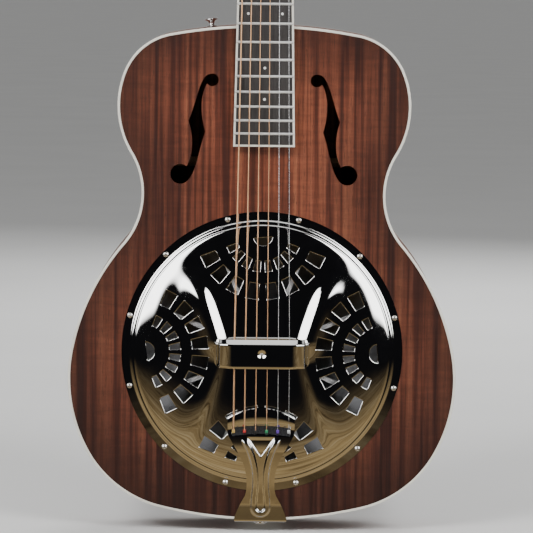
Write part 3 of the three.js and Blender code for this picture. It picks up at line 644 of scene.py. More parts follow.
def spun_aluminium():
    """Fine grooves in rings about the cone's middle, on a tint far darker than bare aluminium: painted
    shade for the cone's place under the coverplate.
    """
    f = Finish("spun aluminium, painted shade")
    low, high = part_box("cone")
    middle = (low + high) / 2
    centred = f.node(
        "ShaderNodeMapping",
        {"Vector": f.place, "Location": (-middle.x, 0, -middle.z), "Scale": (1, 0, 1)},
    )
    radius = f.node("ShaderNodeVectorMath", {0: centred.outputs[0]}, operation="LENGTH").outputs["Value"]
    rings = f.node(
        "ShaderNodeTexNoise",
        {"W": f.math("MULTIPLY", radius, 2600), "Scale": 1.0, "Detail": 3.0},
        noise_dimensions="1D",
    ).outputs["Fac"]
    # Painted shade: a near-black tint for the cone, which sits under the coverplate.
    tint = f.ramp(rings, (0.3, (0.10, 0.10, 0.105)), (0.7, (0.20, 0.20, 0.205)))
    rough = f.grey(rings, 0.34, 0.5, 0.3, 0.7)
    return f.set(Base_Color=tint, Metallic=1.0, Roughness=rough, Normal=f.bump(rings, 0.25, 0.0002))


def cast_metal():
    f = Finish("cast aluminium")
    wear = f.effect(WEAR, Fineness=1.4)
    tint = f.ramp(wear["Scuff"], (0.3, (0.40, 0.40, 0.41)), (0.7, (0.56, 0.56, 0.57)))
    rough = f.grey(wear["Scuff"], 0.4, 0.6)
    return f.set(Base_Color=tint, Metallic=1.0, Roughness=rough, Normal=f.bump(wear["Scuff"], 0.4, 0.0003))


def moulded(name, color, rough=0.28):
    """Plastic, bone or enamel: yellowed in clouds, with a fine texture left by handling."""
    f = Finish(name)
    wear = f.effect(WEAR)
    tint = f.ramp(wear["Cloud"], (0.3, tuple(0.84 * c for c in color)), (0.7, color))
    roughness = f.grey(wear["Scuff"], rough, rough + 0.12)
    return f.set(Base_Color=tint, Roughness=roughness, Normal=f.bump(wear["Scuff"], 0.02, 0.0001))


def dark_board():
    f = Finish("rosewood")
    grain = f.effect(GRAIN, Stretch=(1.2, 1.6, 1.4))
    wood = f.ramp(grain["Streak"], (0.3, (0.012, 0.010, 0.010)), (0.7, (0.036, 0.031, 0.029)))
    wood = f.mix(f.math("MULTIPLY", grain["Pores"], 0.7), wood, (0.006, 0.005, 0.005, 1))
    height = f.math("SUBTRACT", grain["Streak"], f.math("MULTIPLY", grain["Pores"], 0.7))
    rough = f.grey(grain["Streak"], 0.38, 0.55, 0.3, 0.7)
    return f.set(Base_Color=wood, Roughness=rough, Normal=f.bump(height, 0.2, 0.0002))


def wound_wire():
    """A winding's turns show as fine rings along the string."""
    f = Finish("bronze winding")
    pitch = 0.00028
    turns = f.node("ShaderNodeTexWave", {"Vector": f.place, "Scale": 1 / (20 * pitch)}, bands_direction="Z")
    wear = f.effect(WEAR, Fineness=2.0)
    tint = f.mix(wear["Smear"], (0.50, 0.27, 0.13, 1), (0.72, 0.43, 0.24, 1))
    rough = f.grey(wear["Smear"], 0.3, 0.42)
    bump = f.bump(turns.outputs["Fac"], 0.5, 0.0001)
    return f.set(Base_Color=tint, Metallic=0.55, Roughness=rough, Normal=bump)


TOP_WOOD = sapele("sapele, sunburst", burst=True)
NECK_WOOD = sapele("sapele, neck")
SIDE_WOOD = sapele("sapele, bent sides", stretch=(0.02, 1.4, 0.8))
SPRUCE = bare_wood("spruce", (0.62, 0.44, 0.26), (0.45, 0.29, 0.15))
PLY = bare_wood("plywood", (0.42, 0.29, 0.17), (0.28, 0.18, 0.10), (1.0, 3.0, 40.0))
MAPLE = bare_wood("maple", (0.66, 0.50, 0.31), (0.52, 0.37, 0.21))
ROSEWOOD = dark_board()
CHROME = chrome()
NICKEL = metal("satin nickel", (0.62, 0.60, 0.56), 0.22)
STEEL = metal("tuner steel", (0.60, 0.60, 0.60), 0.28)
BRASS = metal("brass", (0.66, 0.47, 0.18), 0.3)
FRET_WIRE = metal("fret nickel", (0.85, 0.84, 0.82), 0.3, metallic=0.45)
PLAIN_WIRE = metal("plain steel string", (0.75, 0.75, 0.76), 0.25, metallic=0.6)
BRONZE_WIRE = wound_wire()
CONE_METAL = spun_aluminium()
CAST = cast_metal()
CREAM = moulded("cream binding", (0.78, 0.75, 0.66))
BONE = moulded("bone", (0.80, 0.77, 0.68))
PEARL = moulded("pearl dots", (0.82, 0.81, 0.78), 0.2)
BLACK = moulded("black plastic", (0.02, 0.02, 0.022), 0.22)

# ---- Body ---------------------------------------------------------------------------------------------


def slab_grid(x0, x1, y0, y1, low, high, cell):
    """A box whose large faces are cut into squares."""
    bm = bmesh.new()
    columns = max(1, round((x1 - x0) / cell))
    rows = max(1, round((y1 - y0) / cell))
    bmesh.ops.create_grid(bm, x_segments=columns, y_segments=rows, size=0.5)
    bmesh.ops.scale(bm, verts=bm.verts, vec=(x1 - x0, y1 - y0, 1))
    bmesh.ops.translate(bm, verts=bm.verts, vec=((x0 + x1) / 2, (y0 + y1) / 2, low))
    raised = bmesh.ops.extrude_face_region(bm, geom=bm.faces[:])
    verts = [v for v in raised["geom"] if isinstance(v, bmesh.types.BMVert)]
    bmesh.ops.translate(bm, verts=verts, vec=(0, 0, high - low))
    return mesh_of(bm)


def edge_distance(x, y, outline):
    """Distance from a point to a closed outline, about as finely as its points are spaced."""
    return min(math.hypot(x - px, y - py) for px, py in outline)


def paint_burst(mesh, outline):
    """The mask of the darkening: 1 at the outline and less towards the middle, as in a stained burst, and
    darker all over towards the tail.
    """
    mask = mesh.attributes.new("burst", "FLOAT", "POINT")
    for vertex, value in zip(mesh.vertices, mask.data):
        x, y = vertex.co.x, vertex.co.y
        rim = 1 - smooth_step(-12, 92, edge_distance(x, y, outline))
        tail = 0.86 * (1 - smooth_step(-40, 215, y))
        value.value = 1 - (1 - 0.9 * rim) * (1 - tail)
    return mesh


def plate(low, high, holes):
    """A panel that fills the binding, cut finely enough to hold the mask of its darkening."""
    loops = [body_outline(BINDING_WIDE + FIT), *holes]
    prism = flat_solid(loops, low - 5, high + 5)
    grid = slab_grid(-200, 200, -10, 500, low, high, 7)
    mesh = combined(grid, prism, "INTERSECT")
    return paint_burst(mesh, body_outline(0, 6))


def body():
    well = circle(0, SADDLE_Y, WELL_RADIUS, 96)
    top = plate(FRONT - PLATE, FRONT, [well, sound_hole(1), sound_hole(-1)])
    piece("soundboard_top", top, STAND, TOP_WOOD, replaces=["soundboard"])
    bottom = plate(BACK, BACK + PLATE, [])
    piece("back_panel", bottom, STAND, TOP_WOOD, replaces=["back"])
    low, high = BACK + BINDING_DEEP + FIT, FRONT - BINDING_DEEP - FIT
    wall = flat_solid([body_outline(0.05), body_outline(SIDE_WALL)], low, high)
    piece("bent_sides", wall, STAND, SIDE_WOOD, replaces=["side_bass", "side_treble"])
    for name, low, high in (
        ("binding_front", FRONT - BINDING_DEEP, FRONT),
        ("binding_back", BACK, BACK + BINDING_DEEP),
    ):
        strip = flat_solid([body_outline(0), body_outline(BINDING_WIDE)], low, high, 0.5)
        piece(name + "_strip", strip, STAND, CREAM, replaces=[name])


# ---- Resonator ----------------------------------------------------------------------------------------


def cover_surface(x, y):
    """The coverplate's outer face: a dome with a ridge on either side of the hand's hollow."""
    r = math.hypot(x, y)
    if r >= DOME_RADIUS:
        return Vector((x, y, DOME_FOOT - FLANGE_SLOPE * (r - DOME_RADIUS)))
    dome = DOME_FOOT + DOME_RISE * (1 - (r / DOME_RADIUS) ** 4) ** 0.6
    away = abs(x) - (RIDGE_X + RIDGE_SPLAY * math.hypot(y, 10))
    reach = RIDGE_INNER if away < 0 else RIDGE_OUTER
    tall = 1.3 + 2.0 * smooth_step(-12, 12, y)
    ridge = tall * math.exp(-((away / reach) ** 2)) * (1 - smooth_step(44, 92, abs(y)))
    groove = -0.6 * math.exp(-(((r - GROOVE_RADIUS) / 1.1) ** 2))
    return Vector((x, y, dome + ridge + groove))


def surface_frame(surface, u, v, step=0.02):
    """The surface's directions along u and v, and its normal."""
    across = (surface(u + step, v) - surface(u - step, v)).normalized()
    along = (surface(u, v + step) - surface(u, v - step)).normalized()
    return across, along, across.cross(along).normalized()


def formed(name, flat, surface, thickness, place, material, replaces=(), body="guitar"):
    """Presses a flat plate from z = -1 to 0 into a surface, and gives it the surface's own normals."""
    frames = [surface_frame(surface, vertex.co.x, vertex.co.y) for vertex in flat.vertices]
    outward = place.to_3x3().normalized()
    normals = []
    for face in flat.polygons:
        flat_normal = face.normal.copy()
        upright = abs(flat_normal.z) < 0.5
        for corner in face.loop_indices:
            across, along, normal = frames[flat.loops[corner].vertex_index]
            if upright:
                normal = (across * flat_normal.x + along * flat_normal.y).normalized()
            else:
                normal = normal * math.copysign(1, flat_normal.z)
            normals.append(outward @ normal)
    for vertex, (_, _, normal) in zip(flat.vertices, frames):
        vertex.co = surface(vertex.co.x, vertex.co.y) + normal * (vertex.co.z * thickness)
    made = piece(name, flat, place, material, body, 30, replaces)
    made.data.normals_split_custom_set(normals)
    return made


def fan_loops():
    """Outlines of the openings of the fan on the bass side: a half-moon and two rows of slots."""
    centre = (-FAN_CENTRE, 0)
    loops = [arc_points((FAN_MOON_X, 0), FAN_MOON, -90, 90, 18)]
    for k in range(FAN_SLOTS):
        middle = (k - (FAN_SLOTS - 1) / 2) * FAN_PITCH
        for inner, outer in FAN_ROWS:
            corners = ((inner, -1), (outer, -1), (outer, 1), (inner, 1))
            swings = [(radius, middle + side * FAN_SPREAD) for radius, side in corners]
            loops.append([arc_points(centre, radius, swing, swing, 1)[0] for radius, swing in swings])
    return loops


def on_all_sides(mesh_maker):
    """What mesh_maker makes of each opening, four times round the plate."""
    made = []
    for quarter in range(4):
        for loop in fan_loops():
            turned_loop = [(turn(90 * quarter, "Z") @ Vector((x, y, 0))).xy for x, y in loop]
            made.append(mesh_maker(turned_loop))
    return joined(made)


def slot_lip(loop):
    """The rounded edge that the punch leaves round an opening."""
    points = []
    for k, corner in enumerate(loop):
        after = loop[(k + 1) % len(loop)]
        steps = max(1, round((after - corner).length / 2.5))
        for j in range(steps):
            x, y = corner.lerp(after, j / steps)
            points.append(cover_surface(x, y) - Vector((0, 0, LIP_RADIUS + 0.05)))
    return hoop(points, LIP_RADIUS, 10)


def polar_slab(radius, rings, segments):
    """A round plate from z = -1 to 0, divided into rings and wedges."""
    bm = bmesh.new()
    bmesh.ops.create_circle(bm, cap_ends=True, cap_tris=True, radius=radius / rings, segments=segments)
    for ring in range(2, rings + 1):
        edges = [e for e in bm.edges if e.is_boundary]
        made = bmesh.ops.extrude_edge_only(bm, edges=edges)
        verts = [v for v in made["geom"] if isinstance(v, bmesh.types.BMVert)]
        factor = ring / (ring - 1)
        bmesh.ops.scale(bm, verts=verts, vec=(factor, factor, 1))
    raised = bmesh.ops.extrude_face_region(bm, geom=bm.faces[:])
    verts = [v for v in raised["geom"] if isinstance(v, bmesh.types.BMVert)]
    bmesh.ops.translate(bm, verts=verts, vec=(0, 0, -1))
    return mesh_of(bm)


def coverplate():
    disc = polar_slab(COVER_RADIUS, 96, 192)
    window = rounded_box(-34, 34, -9, 9, -5, 5, 0)
    openings = on_all_sides(lambda loop: flat_solid([loop], -5, 5))
    flat = combined(combined(disc, openings, "DIFFERENCE"), window, "DIFFERENCE")
    piece("slot_lips", on_all_sides(slot_lip), OVER_SADDLE, CHROME, sharp=180)
    formed("coverplate_pressing", flat, cover_surface, 1.0, OVER_SADDLE, CHROME, ["coverplate"])


def screws():
    """Twelve round-headed screws on the coverplate's flange, each with a crossed recess."""
    head = [(0, 3.2), (1.2, 3.1), (2.1, 2.5), (2.55, 1.5), (2.5, DOME_FOOT), (0, DOME_FOOT)]
    step = 360 / COVER_SCREWS
    made = []
    for k in range(COVER_SCREWS):
        one = turned(head, 20)
        for swing in (0, 90):
            slot = rounded_box(-1.3, 1.3, -0.3, 0.3, 2.3, 4, 0)
            one = combined(one, moved(slot, turn(swing + 37 * k, "Z")), "DIFFERENCE")
        made.append(moved(one, at(0, SCREW_CIRCLE, 0), turn(step / 2 + step * k, "Z")))
    piece("coverplate_screws", joined(made), OVER_SADDLE, NICKEL)


def cone():
    """The spun cone, which hangs from its rim in the well under the saddle."""
    seat = -8.75
    wall = 0.8
    top = [
        (0, seat - 6),
        (9, seat - 7),
        (38, seat - 21.5),
        (43, seat - 22),
        (48, seat - 21),
        (80, seat - 13.5),
        (109.6, seat - 1.2),
        (111.5, seat + 0.3),
        (113.6, seat + wall),
        (120.6, seat + wall),
    ]
    under = [(radius, height - wall) for radius, height in reversed(top)]
    piece("spun_cone", turned(top + under, 128), OVER_SADDLE, CONE_METAL, replaces=["cone"])


def palm_surface(x, y):
    """Outer face of the palm rest: a flat bridge with drooping ends, flat feet and rolled long edges."""
    top = STRING_HEIGHT + 5
    foot = 13.4
    droop = 3.6
    ends = smooth_step(27, 35, abs(x))
    shoulder = droop * smooth_step(26, 43, abs(x))
    fall = (top - foot - droop) * smooth_step(40.5, 44.5, abs(x))
    edge = 0.8 * soft_bend(y, 9.2, 0.25) + 0.5 * soft_bend(-y, 12.6, 0.3)
    dimple = 1.2 * (1 - smooth_step(1.2, 4.6, math.hypot(x, y)))
    return Vector((x, y, top - shoulder - fall - edge - dimple + 0.12 * ends * y))


def palm_rest():
    corner = 6
    outline = []
    for x, y, start in ((40, 8, 0), (-40, 8, 90), (-40, -8, 180), (40, -8, 270)):
        outline += arc_points((x, y), corner, start, start + 90, 8)
    prism = flat_solid([outline], -4, 4)
    grid = slab_grid(-50, 50, -16, 16, -1, 0, 0.9)
    flat = combined(grid, prism, "INTERSECT")
    formed("palm_rest_pressing", flat, palm_surface, 1.5, OVER_SADDLE, CHROME, ["palm_rest"])
    screw = turned([(0, 0.6), (0.9, 0.5), (1.5, 0), (0, 0)], 16)
    piece("palm_rest_screw", moved(screw, at(0, 0, STRING_HEIGHT + 3.8)), OVER_SADDLE, NICKEL)


def saddle_block():
    """The maple saddle, notched over the tension screw."""
    blank = rounded_box(-31, 31, -1.7, 1.7, 3.5, 18.9, 0.5)
    notch = rounded_box(-4, 4, -3, 3, 2, 12.5, 0)
    made = combined(blank, notch, "DIFFERENCE")
    piece("saddle_blank", made, OVER_SADDLE, MAPLE, replaces=["saddle"])


# ---- Strings ------------------------------------------------------------------------------------------


def string_x(spread, number):
    return spread * (number / 5 - 0.5)


def lying(matrix, x, y, z):
    """A point of the neck's or the head's frame in the lying body's frame."""
    return STAND.inverted() @ matrix @ Vector((x, y, z))


def string_set():
    """Each string's number, name, radius, side, post's row, material and the name of its wire. Four of them
    are wound.
    """
    for number, (name, radius) in enumerate(zip(STRING_NAMES, STRING_RADII)):
        side, row = (-1, number) if number < 3 else (1, 5 - number)
        finish = (BRONZE_WIRE, "bronze") if number < 4 else (PLAIN_WIRE, "steel")
        yield number, name, radius, side, POST_ROWS[row], *finish


def nut_height(radius):
    """Height of a string's middle in its slot of the nut."""
    return NUT_HEIGHT - 0.2 + radius + GAP


def strings():
    for number, name, radius, side, row, material, slot in string_set():
        height = nut_height(radius)
        nut_x = string_x(NUT_SPREAD, number)
        saddle_x = string_x(SADDLE_SPREAD, number)
        route = [
            Vector((string_x(TAIL_SPREAD, number), ANCHOR_Y + 1.5, FRONT + ANCHOR_HEIGHT + radius - 0.6)),
            Vector((saddle_x, SADDLE_Y - 2, FRONT + STRING_HEIGHT - 0.1)),
            Vector((saddle_x, SADDLE_Y + 2, FRONT + STRING_HEIGHT)),
            lying(NECK, nut_x, SCALE / 2, height + 0.1),
            lying(NECK, nut_x, SCALE / 2 + 2.6, height - 0.1),
            lying(HEAD, side * (POST_X - POST_WAIST - radius), row, COIL_HEIGHT),
        ]
        wire = rod(route, radius)
        piece(f"string_{name}_wire", wire, STAND, material, replaces=[f"string_{name}"])


# ---- Tailpiece ----------------------------------------------------------------------------------------

TAIL_SHEET = 1.6
TAIL_BEND_RADIUS = 2.1  # round the body's edge
TAIL_LIP = 112.3  # front edge of the string bar on the middle line
BAR_HALF = 32.5
BAR_ARCH = 8.8  # how far the front edge falls back at the bar's ends
BAR_HEEL = 95.6  # rear edge of the bar, and how far it falls back
HEEL_ARCH = 3.0
BAR_RISE = 2.2
SHADE_STRIP_HALF = 28
SEAT_HEEL = 86.8  # rear edge of the recess where the balls sit, and of the black strip painted over it as shade
BALL_V = 89.2
RIB_HALF = 3.5
STRAP_PIN_V = -48.4


def rib_path():
    """Middle line of one of the tailpiece's two ribs, which meet in a round end at the tail."""
    line = [(16, 81)]
    line += bezier((16, 81), (9, 69), (5, 54), (5, 40), 16)
    line += bezier((5, 40), (5, 30), (6.6, 24), (6.6, 12.9), 12)
    return line + arc_points((0, 12.9), 6.6, 0, -90, 10)


RIB_LINE = rib_path()


def segment_distance(x, y, start, end):
    dx, dy = end[0] - start[0], end[1] - start[1]
    t = ((x - start[0]) * dx + (y - start[1]) * dy) / (dx * dx + dy * dy)
    t = min(1, max(0, t))
    return math.hypot(x - start[0] - t * dx, y - start[1] - t * dy)


def tail_height(u, v):
    """Height of the tailpiece's outer face above the front: hanger, slope, ribs, V and string bar."""
    base = 1.7 + 0.05 * v + 0.115 * soft_bend(v, 15, 0.5) - 0.158 * soft_bend(v, 74, 1.5)
    rib = 0.0
    if v < 86 and abs(u) < 22:
        away = min(segment_distance(abs(u), v, a, b) for a, b in zip(RIB_LINE, RIB_LINE[1:]))
        rib = 1.5 * (1 - smooth_step(1.5, RIB_HALF, away)) * (1 - smooth_step(77, 82, v))
    inside_v = v - 63.5 - 1.45 * abs(u)
    vee = -0.7 * smooth_step(-0.4, 1.2, inside_v) * (1 - smooth_step(80, 84, v))
    bulge = (u / BAR_HALF) ** 2
    heel = BAR_HEEL - HEEL_ARCH * bulge
    lip = TAIL_LIP - BAR_ARCH * bulge
    recess = -1.0 * smooth_step(SEAT_HEEL - 2.5, SEAT_HEEL, v) * (1 - smooth_step(heel - 2, heel, v))
    reach = max(-0.99, min(0.99, (2 * v - heel - lip) / (lip - heel)))
    bar = BAR_RISE * math.sqrt(1 - reach * reach) - 0.3
    if reach < 0:
        bar = max(0, bar)
    return base + rib + vee + recess + bar


def tail_surface(u, v):
    """The tailpiece's outer face. It bends round the body's edge and goes on down the tail."""
    centre_y = TAIL_BEND_RADIUS - GAP - TAIL_SHEET
    if v >= centre_y:
        return Vector((u, v, tail_height(u, v)))
    centre_z = tail_height(u, centre_y) - TAIL_BEND_RADIUS
    turned_by = (centre_y - v) / TAIL_BEND_RADIUS
    if turned_by < math.pi / 2:
        y = centre_y - TAIL_BEND_RADIUS * math.sin(turned_by)
        return Vector((u, y, centre_z + TAIL_BEND_RADIUS * math.cos(turned_by)))
    down = centre_y - v - TAIL_BEND_RADIUS * math.pi / 2
    return Vector((u, centre_y - TAIL_BEND_RADIUS, centre_z - down))


def tail_plan():
    half = arc_points((16, -55.5), 5, -90, 0, 6) + [(21, -8)]
    half += bezier((21, -8), (21, -4), (25.6, -5), (25.6, 1), 8)
    half += bezier((25.6, 1), (24, 8), (20, 16), (15.2, 24.5), 12)
    half += bezier((15.2, 24.5), (12.6, 32), (13, 46), (16.8, 56.5), 14)
    half += bezier((16.8, 56.5), (20.5, 66), (27, 76), (31.3, 84), 10)
    half += [(BAR_HALF, 87)]
    steps = 14
    for k in range(steps):
        x = BAR_HALF * (1 - k / steps)
        half.append((x, TAIL_LIP - BAR_ARCH * (x / BAR_HALF) ** 2))
    return both_halves(half + [(0, TAIL_LIP)])


def shade_strip_plan():
    """A black strip between the string bar and the stem, where the balls sit: painted shade for the recess
    there.
    """
    steps = 12
    sweep = [SHADE_STRIP_HALF * (2 * k / steps - 1) for k in range(steps + 1)]
    front = [(u, BAR_HEEL - 1.2 - HEEL_ARCH * (u / BAR_HALF) ** 2) for u in reversed(sweep)]
    return [(u, SEAT_HEEL - HEEL_ARCH * (u / BAR_HALF) ** 2) for u in sweep] + front


def shade_strip_surface(u, v):
    return tail_surface(u, v) + Vector((0, 0, 0.45))


def tailpiece():
    """The pressed tailpiece, with a keyhole for each string's ball."""
    keyholes = []
    for number in range(6):
        x = string_x(TAIL_SPREAD, number)
        keyholes.append([(x + 0.6, 91), (x - 0.6, 91)] + arc_points((x, 87.5), 2, 107, 433, 20))
    prism = flat_solid([tail_plan(), *keyholes, circle(0, STRAP_PIN_V, 2.6, 32)], -4, 4)
    grid = slab_grid(-36, 36, -64, 116, -1, 0, 0.75)
    flat = combined(grid, prism, "INTERSECT")
    over_tail = STAND @ at(0, 0, FRONT)
    # Painted shade: a black sheet laid just over the recess where the balls sit.
    shade_strip_grid = slab_grid(-30, 30, 80, 100, -1, 0, 1.2)
    seat = combined(shade_strip_grid, flat_solid([shade_strip_plan()], -4, 4), "INTERSECT")
    formed("painted_shade_strip", seat, shade_strip_surface, 0.3, over_tail, BLACK)
    formed("tailpiece_pressing", flat, tail_surface, TAIL_SHEET, over_tail, CHROME, ["tailpiece"])
    section = [(0.5, -1.4), (1.5, -1.4), (1.75, -1.1), (1.75, 1.1), (1.5, 1.4), (0.5, 1.4)]
    for number, (name, color) in enumerate(zip(STRING_NAMES, BALL_COLORS)):
        ring = ring_turned(section, 24)
        x = string_x(TAIL_SPREAD, number)
        spot = at(x, BALL_V, tail_height(x, BALL_V) + 1.2)
        finish = moulded("ball end " + name, color)
        piece("ball_end_" + name, moved(ring, turn(90, "Y")), over_tail @ spot, finish)


def strap_buttons():
    """Two turned pins with a slotted end."""
    reach = 20
    profile = [(0, -reach), (1.2, 2 - reach), (2, 5 - reach), (2, GAP), (4.6, GAP), (4.7, 0.8)]
    profile += bezier((4.7, 0.8), (3.6, 1.4), (2.9, 2), (2.8, 3.2), 6)
    profile += bezier((2.8, 3.2), (2.8, 5.2), (3.4, 6.2), (6.1, 6.9), 8)
    profile += bezier((6.1, 6.9), (6.8, 7.4), (6.6, 8.4), (5.2, 9), 6)
    profile += bezier((5.2, 9), (3.6, 9.5), (2, 9.5), (0, 9.5), 5)
    outline = [(-x, y) for x, y in half_outline(0)]
    before = max(k for k, point in enumerate(outline) if point[0] < SHOULDER_X)
    (ax, ay), (bx, by) = outline[before], outline[before + 1]
    share = (SHOULDER_X - ax) / (bx - ax)
    seat = at(SHOULDER_X, ay + share * (by - ay), 0)
    lean = Matrix.Rotation(math.atan2(by - ay, bx - ax), 4, "Z")
    for name, place in (
        ("shoulder", STAND @ seat @ lean @ turn(-90, "X")),
        ("tail", STAND @ at(0, -GAP - TAIL_SHEET, 0) @ turn(90, "X")),
    ):
        pin = combined(turned(profile, 48), rounded_box(-4, 4, -0.5, 0.5, 8.6, 11, 0), "DIFFERENCE")
        piece(f"strap_pin_{name}", pin, place, CHROME, replaces=[f"strap_button_{name}"])


# ---- Neck ---------------------------------------------------------------------------------------------


def board_width(v):
    return BOARD_TWELFTH_WIDTH + (BOARD_NUT_WIDTH - BOARD_TWELFTH_WIDTH) * v / (SCALE / 2)


def board_outline(inset, end_inset):
    nut = SCALE / 2 - GAP
    end = -BOARD_OVERHANG + end_inset
    left = [(-board_width(end) / 2 + inset, end), (board_width(end) / 2 - inset, end)]
    right = [(board_width(nut) / 2 - inset, nut), (-board_width(nut) / 2 + inset, nut)]
    return left + right


def fret_place(number):
    return SCALE / 2 - SCALE * (1 - 2 ** (-number / 12))


def fingerboard():
    wood = flat_solid([board_outline(BOARD_BINDING, BOARD_BINDING)], 0, BOARD_THICK, 0.1)
    piece("fingerboard_blank", wood, NECK, ROSEWOOD, replaces=["fingerboard"])
    outer = board_outline(0, 0)
    inner = board_outline(BOARD_BINDING, BOARD_BINDING)
    loop = [*outer[:3], inner[2], inner[1], inner[0], inner[3], outer[3]]
    strip = flat_solid([loop], 0, BOARD_THICK, 0.3)
    piece("fingerboard_strip", strip, NECK, CREAM, replaces=["fingerboard_binding"])
    wires = []
    for number in range(1, FRETS + 1):
        v = fret_place(number)
        half = board_width(v) / 2 - 0.4
        route = [(x, 0, 0) for x in (-half, -half + 0.5, half - 0.5, half)]
        wires.append(moved(rod(route, 1.2, 16, [0.6, 1, 1, 0.6]), at(0, v, BOARD_THICK)))
    piece("frets", joined(wires), NECK, FRET_WIRE)
    dots = []
    for number in DOTS:
        v = (fret_place(number) + fret_place(number - 1)) / 2
        for x in (-16.3, 16.3) if number == 12 else (0,):
            dot = turned([(0, 0.12), (1.25, 0.12), (1.35, 0), (0, 0)], 32)
            dots.append(moved(dot, at(x, v, BOARD_THICK - 0.05)))
    piece("position_dots", joined(dots), NECK, PEARL)


NECK_STATIONS = (
    (-4, 100, 1),
    (4, 96, 0.95),
    (9, 66, 0.7),
    (16, 36, 0.4),
    (26, 23, 0.12),
    (42, 18, 0),
    (160, 16.5, 0),
    (SCALE / 2 - 12, 15, 0),
    (SCALE / 2 + NUT_THICK + GAP, 15.5, 0),
)  # place along the neck, depth, and share of the heel in the section


def station(v, column):
    """Depth (1) or heel's share (2) of the neck at v, straight from station to station."""
    for low, high in zip(NECK_STATIONS, NECK_STATIONS[1:]):
        if v <= high[0]:
            t = max(0, (v - low[0]) / (high[0] - low[0]))
            return low[column] + (high[column] - low[column]) * t
    return NECK_STATIONS[-1][column]


def eased(v, column, reach=4.5, samples=9):
    """The same with its corners rounded."""
    spots = [v + reach * (2 * k / (samples - 1) - 1) for k in range(samples)]
    return sum(station(spot, column) for spot in spots) / samples


def neck_section(v):
    """The shaft's outline across v: a half ellipse that turns into the heel's wedge."""
    half = board_width(v) / 2
    depth = eased(v, 1)
    heel = eased(v, 2)
    points = []
    steps = 16
    for k in range(2 * steps + 1):
        angle = math.pi * k / (2 * steps)
        down = math.sin(angle)
        side = math.copysign(1, math.cos(angle)) if k != steps else 0
        round_x = half * abs(math.cos(angle))
        heel_x = half * (1 - 0.58 * down)
        x = side * (round_x + (heel_x - round_x) * heel)
        points.append((x, v, -GAP - depth * down))
    return points


def neck_shaft():
    """Fine sections round the heel, and coarse ones up to the nut."""
    start, end = NECK_STATIONS[0][0], NECK_STATIONS[-1][0]
    fine = [start + k for k in range(48)]
    coarse = [44 + 12 * k for k in range(24) if 44 + 12 * k < end - 4]
    return lofted([neck_section(v) for v in fine + coarse + [end]])


def head_outline(inset):
    edge = BOARD_NUT_WIDTH / 2 - inset
    half = [(edge, inset)]
    half += bezier((edge, inset), (22.5 - inset, 10), (31.5 - inset, 16), (32.5 - inset, 30), 14)
    wide = (35.5 - inset, HEAD_LENGTH - 14)
    half += [wide]
    corner, top = (20 - inset, HEAD_LENGTH - 6 - inset), (0, HEAD_LENGTH - inset)
    for k in range(1, 13):
        t = k / 12
        half.append(weighted(((1 - t) ** 2, 2 * t * (1 - t), t * t), (wide, corner, top)))
    return both_halves(half)


def neck():
    """Shaft, heel, tongue and headstock of one piece of wood, cut to fit the body."""
    tongue_half = board_width(-BOARD_OVERHANG) / 2 - 5
    tongue = rounded_box(-tongue_half, tongue_half, 3 - BOARD_OVERHANG, 8, -8, -GAP, 0.3)
    under_plate = -HEADPLATE - GAP
    head = flat_solid([head_outline(0)], under_plate - HEAD_THICK, under_plate, 1.2)
    whole = combined(neck_shaft(), moved(head, TO_HEAD), "UNION")
    whole = combined(whole, tongue, "UNION")
    to_neck = NECK.inverted() @ STAND
    body_space = rounded_box(-90, 90, 283, half_outline(0)[-1][1] + GAP, BACK - 40, FRONT + GAP, 0)
    below = rounded_box(-90, 90, 480, 700, BACK - 60, BACK, 0)
    channel = rounded_box(-3.6, 3.6, 8, SCALE / 2 + 34, -9.5, 4, 0)
    for tool in (moved(body_space, to_neck), moved(below, to_neck), channel):
        whole = combined(whole, tool, "DIFFERENCE")
    holes = [moved(turned(capped(3.25, -40, 30), 24), at(x, y, 0), TO_HEAD) for x, y in POSTS]
    whole = combined(whole, joined(holes), "DIFFERENCE")
    piece("neck_carving", whole, NECK, NECK_WOOD, replaces=["neck"])


def capped(radius, low, high):
    """Profile of a plain round bar."""
    return [(0, low), (radius, low), (radius, high), (0, high)]


def headstock_face():
    holes = [circle(x, y, 3.25, 32) for x, y in POSTS]
    face = flat_solid([head_outline(0.4), *holes], -HEADPLATE, 0, 0.3)
    face = combined(face, rounded_box(-4.5, 4.5, -1, 24, -5, 5, 0), "DIFFERENCE")
    piece("headplate_veneer", face, HEAD, ROSEWOOD, replaces=["headplate"])
    half = [(6, 0.4), (7.6, 3), (8, 9), (6.6, 16), (4.4, 22), (3.4, 30)]
    half += arc_points((0, 31), 3.4, 0, 90, 6)
    cover = flat_solid([both_halves(half)], 0.05, 1.8, 0.4)
    piece("truss_rod_cover", cover, HEAD, BLACK)
    spots = [(0, 29, 1.8), (-5, 4.5, 1.8), (5, 4.5, 1.8)]
    piece("truss_rod_cover_screws", joined([small_screw(*spot) for spot in spots]), HEAD, NICKEL)
    bushing = [(3.3, -1), (4.4, -1), (4.4, FIT), (5.6, FIT), (5.6, 0.7), (4.9, 1.4), (3.5, 1.8), (3.3, 1.6)]
    rings = [moved(ring_turned(bushing, 40), at(x, y, 0)) for x, y in POSTS]
    piece("post_bushings", joined(rings), HEAD, NICKEL)


def small_screw(x, y, z, radius=1.5, flip=1):
    head = turned([(0, -1.5), (radius * 0.6, -1.5), (radius, 0), (radius * 0.8, 0.4), (0, 0.6)], 18)
    cut = combined(head, rounded_box(-2, 2, -0.2, 0.2, 0.25, 2, 0), "DIFFERENCE")
    return moved(cut, turn(35, "Z"), turn(90 - 90 * flip, "X"), at(x, y, z))


